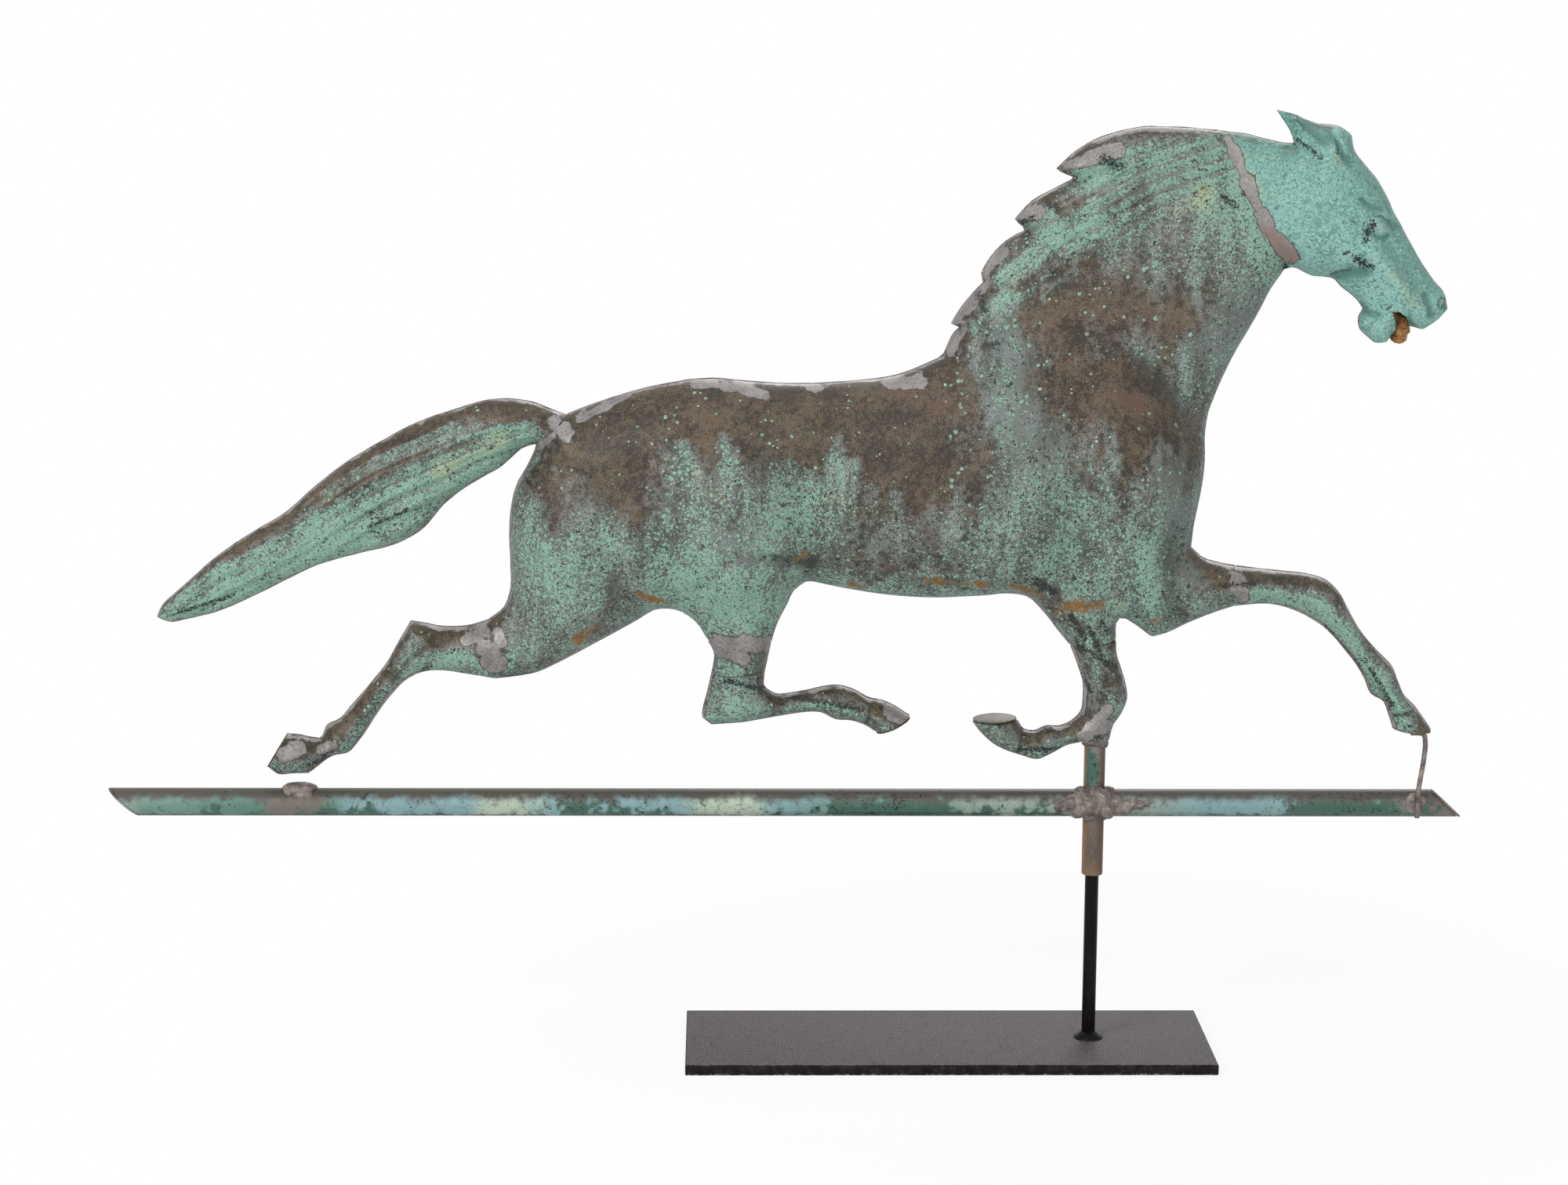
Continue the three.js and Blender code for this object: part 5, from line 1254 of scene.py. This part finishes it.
def oxide(tree, parts, browns, films):
    """The brown ground with its film, which thickens with the amount of green."""
    parts["amount"] = weighed(
        tree, parts, plus=-1.15, verdigris=1, cloud=0.8, patch=1, fleck=0.5, washed=-0.7, tone=0.15,
    )
    brown = graded(tree, parts, browns, mottle=0.3, fleck=0.3, speck=0.4)
    brown, _ = covered(tree, parts, brown, RED_OXIDE, 0.25, 1.1, plus=-1, rust=0.5, mottle=1.4, fleck=0.6)
    film = graded(tree, parts, films, patch=0.2, fleck=0.4, speck=0.4)
    film, _ = covered(tree, parts, film, SLATE, 0.2, 1, plus=-0.45, slate=0.9, patch=0.9)
    skin, parts["veil"] = covered(
        tree, parts, brown, film, 0.05, 0.75, plus=-0.3, amount=1, slate=0.2, grain=0.6,
    )
    return skin


# %% [markdown]
# Verdigris is a chalky crust. It comes as specks, two sizes of cells that grow with the amount of
# green until they close, and a few stray ones where there is no green yet.

# %% Verdigris
PALE_GREEN, EARTH = "#a4b896", "#85795f"
GROWN, STRAY = (0.02, 0.16), (0, 0.08)
CRUST_COVER = 0.9


def verdigris(tree, parts, skin, greens, contrast):
    """The green crust over the skin: its colours, its specks, and how far they cover."""
    green = graded(tree, parts, greens, fleck=0.3, grain=0.35, speck=0.35)
    green, _ = covered(tree, parts, green, PALE_GREEN, 0.2, 1, plus=-1, pale=0.7, patch=1.2, fleck=0.8)
    green, _ = covered(tree, parts, green, EARTH, 0.1, 0.9, plus=-0.6, rust=0.8, fleck=0.8)
    specks = (
        ({"plus": -0.48, "amount": contrast, "grain": 0.8, "middle_reach": -1}, GROWN),
        ({"plus": -0.48, "amount": contrast, "grain": 0.8, "small_reach": -1}, GROWN),
        ({"plus": -0.84, "amount": 0.15, "cloud": 0.6, "wide_chance": 1, "wide_reach": -1}, STRAY),
    )
    crust = 0
    for weights, (low, high) in specks:
        limits = {"Value": weighed(tree, parts, **weights), "From Min": low, "From Max": high}
        speck = add_node(tree, "ShaderNodeMapRange", limits, interpolation_type="SMOOTHSTEP").outputs[0]
        crust = add_node(tree, "ShaderNodeMath", {0: crust, 1: speck}, operation="MAXIMUM").outputs[0]
    parts["crust"] = crust
    share = weighed(tree, parts, crust=CRUST_COVER)
    return add_node(tree, "ShaderNodeMix", {0: share, 6: skin, 7: green}, data_type="RGBA").outputs[2]


# %% [markdown]
# The crust is pitted. The hollows of the form are darkened with painted shade and settled dirt,
# its ridges lightened with a painted highlight and rubbing, and dark strokes paint the shade in the
# nostril, mouth, eye, ear and other creases. Last come the gilding that is left, the wiped solder
# with its dark rim, and black crust over all.

# %% Wear and leftovers
# The pale ridge colour is a painted highlight mixed with rubbing; the dark stroke colour is painted shade.
RUBBED_RIDGE_HIGHLIGHT, HOLLOW_SHADE_COLOUR, OLD_GOLD, BRIGHT_GOLD = "#a5b8a6", "#35413b", "#6b4d2b", "#9c7541"
SOLDER_RIM, RUSTY_SOLDER, BLACK_CRUST = "#3f3a35", "#86746b", "#1d2421"
SOLDER_SHADES = [(0.34, "#696563"), (0.5, "#858180"), (0.66, "#9f9b97")]


def worn(tree, parts, skin, pit_and_crease_shade, pits):
    """Pits, painted shade with dirt in the hollows and dark strokes, and a painted highlight on rubbed
    ridges over the skin.
    """
    skin, _ = covered(
        tree, parts, skin, pit_and_crease_shade, 0.22, 0.34,
        plus=pits, veil=0.12, fleck=0.8, grain=0.6, speck=0.7, tone=-0.1,
    )
    # Creases darken with painted shade mixed with settled dirt.
    skin, _ = covered(tree, parts, skin, pit_and_crease_shade, 0.1, 1, plus=-0.25, tone=-1, fleck=0.5)
    # Ridges lighten with a painted highlight mixed with rubbing.
    skin, _ = covered(tree, parts, skin, RUBBED_RIDGE_HIGHLIGHT, 0.1, 1, plus=-0.1, tone=0.5, fleck=0.2)
    # The dark strokes paint the shade in the nostril, mouth, eye, ear and creases.
    skin, _ = covered(tree, parts, skin, HOLLOW_SHADE_COLOUR, 0.25, 0.95, plus=-0.8, dirt=1, grain=0.6, speck=0.6)
    return skin


def leftovers(tree, parts, skin):
    """Gilding, solder and black crust over the skin."""
    gold = graded(tree, parts, [(0, OLD_GOLD), (1, BRIGHT_GOLD)], fleck=1)
    skin, parts["gold"] = covered(tree, parts, skin, gold, 0.55, 1.05, plus=-2, gilt=0.9, patch=2, grain=2)
    parts["wiped"] = weighed(tree, parts, plus=-0.9, solder=1, patch=1, fleck=0.8)
    skin, _ = covered(tree, parts, skin, SOLDER_RIM, 0.36, 0.46, wiped=1)
    tin = graded(tree, parts, SOLDER_SHADES, patch=0.5, grain=0.5)
    tin, _ = covered(tree, parts, tin, RUSTY_SOLDER, 0.2, 1.1, rust=1)
    skin, parts["tin"] = covered(tree, parts, skin, tin, 0.46, 0.56, wiped=1)
    skin, parts["scab"] = covered(
        tree, parts, skin, BLACK_CRUST, 0.42, 0.5, plus=-1.15, black=0.57, grain=1.2, speck=1.1,
    )
    return skin


# %% The copper of the horse, and of its greener head
def sheet_copper(name, browns, films, greens, contrast, pits, pit_and_crease_shade):
    """Weathered copper: three ramps of colours, the green's contrast, how many pits, and the colour of the
    pits and of the painted shade in creases.
    """
    material, tree, parts = patterned(name, COPPER_GRAINS)
    add_stains(tree, parts)
    skin = verdigris(tree, parts, oxide(tree, parts, browns, films), greens, contrast)
    skin = leftovers(tree, parts, worn(tree, parts, skin, pit_and_crease_shade, pits))
    dull = weighed(tree, parts, plus=0.45, crust=0.28, tin=-0.04, gold=-0.1, fleck=0.2)
    metal = weighed(tree, parts, plus=0.25, crust=-0.25, tin=0.1, gold=0.4)
    height = weighed(tree, parts, crust=0.4, fleck=0.35, grain=0.3, scab=0.2)
    shaded(tree, skin, dull, metal, height, bump_strength=0.7, bump_depth=0.4)
    return material


horse_copper = sheet_copper(
    "sheet copper, brown oxide under verdigris",
    browns=[(0.44, "#241d16"), (0.5, "#443a2c"), (0.56, "#5f5240")],
    films=[(0.43, "#474d49"), (0.5, "#69706c"), (0.57, "#949a98")],
    greens=[(0.4, "#638a7b"), (0.48, "#7fa796"), (0.54, "#9ac0ac"), (0.6, "#bcd9c8")],
    # The hollows colour darkens the pits and paints the shade in the creases.
    contrast=0.8, pits=-1.01, pit_and_crease_shade="#2e332c",
)
head_copper = sheet_copper(
    "sheet copper, even pale verdigris",
    browns=[(0.42, "#4d5a50"), (0.5, "#66685a"), (0.58, "#7b7565")],
    films=[(0.42, "#568279"), (0.5, "#73a299"), (0.58, "#92bdb4")],
    greens=[(0.4, "#659c93"), (0.48, "#8ab9b0"), (0.54, "#a3cbc3"), (0.62, "#bddfd8")],
    # A lighter colour for the pits and for the painted shade in the head's creases.
    contrast=0.5, pits=-1.02, pit_and_crease_shade="#547e76",
)
for name, pair in skins.items():
    for piece in pair:
        piece.data.materials.append(head_copper if name == "head" else horse_copper)
for piece in soles:
    piece.data.materials.append(horse_copper)
print("pieces of copper:", 2 * len(skins) + len(soles))

# %% [markdown]
# ## The rod and the sleeve
#
# The rod is copper tube. Its verdigris came off in bands, pale blue, yellow-green and dark green,
# with brown where water dries on its top, and a dark line below that is partly its own stain and
# partly painted shade under the tube. The sleeve has the brown of brass.

# %% Tubes
TUBE_GRAINS = {"blot": (16, 3), "fleck": (5, 3), "grain": (1.6, 3)}
TUBE_GLOSS = {"roughness": 0.5, "metallic": 0.15}
FADED, GREEN_BLOTCH, SOOT = "#5d6f68", "#3b5e51", "#1c2420"


def banded(name, along, across, pales, darks, high_edge, low_edge):
    """Tube whose paint changes along one axis and darkens towards both edges of another."""
    material, tree, parts = patterned(name, TUBE_GRAINS)
    split = add_node(tree, "ShaderNodeSeparateXYZ", {0: parts["place"]}).outputs
    for part, (axis, low, high) in (("along", along), ("level", across)):
        reach = {"Value": split[axis], "From Min": low, "From Max": high}
        parts[part] = add_node(tree, "ShaderNodeMapRange", reach).outputs[0]
    parts["course"] = weighed(tree, parts, plus=-0.016, along=1, blot=0.02, fleck=0.012)
    parts["dark"] = graded(tree, parts, darks, course=1)
    skin = graded(tree, parts, pales, course=1)
    skin, _ = covered(tree, parts, skin, FADED, 0.76, 1.1, fleck=0.7, grain=0.9)
    skin, _ = covered(
        tree, parts, skin, GREEN_BLOTCH, 0.22, 0.42, plus=-0.78, dark=0.8, blot=1, fleck=0.9, level=-0.35,
    )
    skin, _ = covered(tree, parts, skin, high_edge, 0.48, 0.9, plus=-0.45, level=1, blot=0.5, fleck=0.4)
    skin, _ = covered(tree, parts, skin, low_edge, -0.17, -0.06, plus=-0.2, level=-1, blot=0.2, fleck=0.2)
    skin, _ = covered(tree, parts, skin, SOOT, 0.28, 0.36, plus=-1, dark=0.25, fleck=0.7, grain=1.3)
    shaded(tree, skin, height=parts["grain"], bump_strength=0.5, bump_depth=0.3, **TUBE_GLOSS)
    return material


# %% The rod's bands, from one end to the other
ROD_PIXELS = (139, 1860)
PALE_BLUE, PALE_LIME, PALE_GREY = "#7b9ea1", "#abb9a7", "#8c9c90"
DULL_GREEN, DEEP_GREEN, TINNED = "#658a7f", "#527d6e", "#70665f"
CLEAR, THIN, SPOTTED, COVERED = "#181818", "#505050", "#909090", "#d0d0d0"


def shades(*stops):
    """Stops of a ramp from places along the rod in the photograph's pixels."""
    low, high = ROD_PIXELS
    return [((pixel - low) / (high - low), code) for pixel, code in stops]


rod_paint = banded(
    "copper tube, verdigris in bands",
    along=("X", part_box("rod_cap_rear")[0].x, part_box("rod_cap_front")[1].x),
    across=("Z", ROD_Z - ROD_RADIUS, ROD_Z + ROD_RADIUS),
    pales=shades(
        (150, PALE_GREY), (190, DULL_GREEN), (235, DULL_GREEN), (300, DEEP_GREEN), (338, DEEP_GREEN),
        (346, TINNED), (410, TINNED), (418, DEEP_GREEN), (445, PALE_BLUE), (590, PALE_BLUE),
        (618, PALE_LIME), (655, PALE_LIME), (700, PALE_BLUE), (860, PALE_BLUE), (890, PALE_LIME),
        (950, PALE_LIME), (985, PALE_BLUE), (1060, DULL_GREEN), (1160, DEEP_GREEN), (1230, PALE_GREY),
        (1460, PALE_GREY), (1510, PALE_BLUE), (1620, PALE_BLUE), (1690, DEEP_GREEN), (1745, DULL_GREEN),
        (1790, TINNED), (1850, TINNED),
    ),
    darks=shades(
        (150, THIN), (300, SPOTTED), (340, THIN), (346, CLEAR), (412, CLEAR), (420, COVERED),
        (440, THIN), (465, COVERED), (490, THIN), (580, THIN), (620, CLEAR), (670, CLEAR),
        (720, COVERED), (850, SPOTTED), (880, CLEAR), (960, CLEAR), (1010, THIN), (1060, COVERED),
        (1150, COVERED), (1230, SPOTTED), (1330, SPOTTED), (1470, THIN), (1590, THIN),
        (1640, SPOTTED), (1670, COVERED), (1740, COVERED), (1850, THIN),
    ),
    # The dark low edge is partly the tube's own stain and partly painted shade along its underside.
    high_edge="#4b453f", low_edge="#22312a",
)
for piece in [rod, *caps]:
    piece.data.materials.append(rod_paint)

# %% The sleeve, brown tarnish below and solder above
SLEEVE_SEEN = HOOF + 20 * MM
sleeve_low, sleeve_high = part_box("pivot_sleeve")
sleeve_metal = banded(
    "brass tube, brown tarnish, solder and rust",
    along=("Z", sleeve_low.z, SLEEVE_SEEN), across=("X", sleeve_low.x, sleeve_high.x),
    pales=[
        (0, "#7d613d"), (0.08, "#6b553d"), (0.16, "#59493f"), (0.4, "#6c574b"), (0.55, "#756c66"),
        (0.8, "#6c7268"), (1, "#77736e"),
    ],
    darks=[(0, CLEAR), (0.4, THIN), (0.55, SPOTTED), (0.75, COVERED), (1, SPOTTED)],
    high_edge="#5b4136", low_edge="#7c6040",
)
sleeve.data.materials.append(sleeve_metal)
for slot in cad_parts["thrust_seat"].material_slots:
    slot.material = sleeve_metal

# %% [markdown]
# ## Steel, solder and filler
#
# Old lead solder is a soft grey with a pink cast. The stand is new: a flat bar with dust on its
# top, and a rod in black gloss. The filler is dry and gritty.

# %% Plain metals
SHADE_STOPS = (0.38, 0.5, 0.62)
CHIPPED_STEEL = "#8b8784"
METAL_SPECULAR, PAINT_SPECULAR = 0.5, 0.1
PLAIN_BUMP = 0.7
FLECK_SHARE = 0.2


def plain_metal(name, shades_of, size, roughness, metallic, depth, dust=None):
    """A worn metal or filler: three shades in noise of a given size, fine relief, and dust on top."""
    material, tree, parts = patterned(name, {"blot": (size, 4), "fleck": (FLECK_SHARE * size, 4)})
    parts["mixed"] = weighed(tree, parts, blot=0.65, fleck=0.35)
    skin = graded(tree, parts, list(zip(SHADE_STOPS, shades_of)), mixed=1)
    if dust:
        surface, code = dust
        parts["height"] = add_node(tree, "ShaderNodeSeparateXYZ", {0: parts["place"]}).outputs["Z"]
        powder, _ = covered(tree, parts, code, skin, 0.46, 0.6, fleck=1)
        skin, _ = covered(
            tree, parts, skin, powder, -0.35, 0, plus=-surface - 0.25, height=1 / MM, blot=0.5,
        )
        skin, _ = covered(
            tree, parts, skin, CHIPPED_STEEL, 0, 0.5, plus=-3.8, height=-1.2 / MM, fleck=5, blot=4,
        )
    specular = METAL_SPECULAR if metallic else PAINT_SPECULAR
    shaded(tree, skin, roughness, metallic, parts["mixed"], PLAIN_BUMP, depth, specular)
    return material


# %% Solder, steel and filler
PLATE_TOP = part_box("base_plate")[1].z / MM
solder_metal = plain_metal(
    "lead solder, dull grey with a pink cast", ("#4b423f", "#756b68", "#92877f"),
    size=6, roughness=0.55, metallic=0.3, depth=0.45,
)
bead_metal = plain_metal(
    "soft solder bead, stained brown", ("#4c4038", "#736760", "#90857f"),
    size=9, roughness=0.6, metallic=0.2, depth=0.2,
)
black_gloss = plain_metal(
    "black gloss paint on steel", ("#0c0a09", "#120f0d", "#1a1715"),
    size=10, roughness=0.3, metallic=0, depth=0.05,
)
dusty_steel = plain_metal(
    "hot-rolled steel, black scale under grey dust", ("#131010", "#1c1918", "#2d2928"),
    size=4, roughness=0.6, metallic=0, depth=0.15, dust=(PLATE_TOP, "#6a6467"),
)
brown_filler = plain_metal(
    "dry brown filler, gritty", ("#4f3420", "#8d6642", "#b0875e"),
    size=5, roughness=0.9, metallic=0, depth=0.9,
)
for pieces, material in (
    ([star, stub, pad, cuff, wire], solder_metal), (beads.values(), bead_metal),
    ([spindle, weld], black_gloss), ([plate], dusty_steel), ([filler], brown_filler),
):
    for piece in pieces:
        piece.data.materials.append(material)
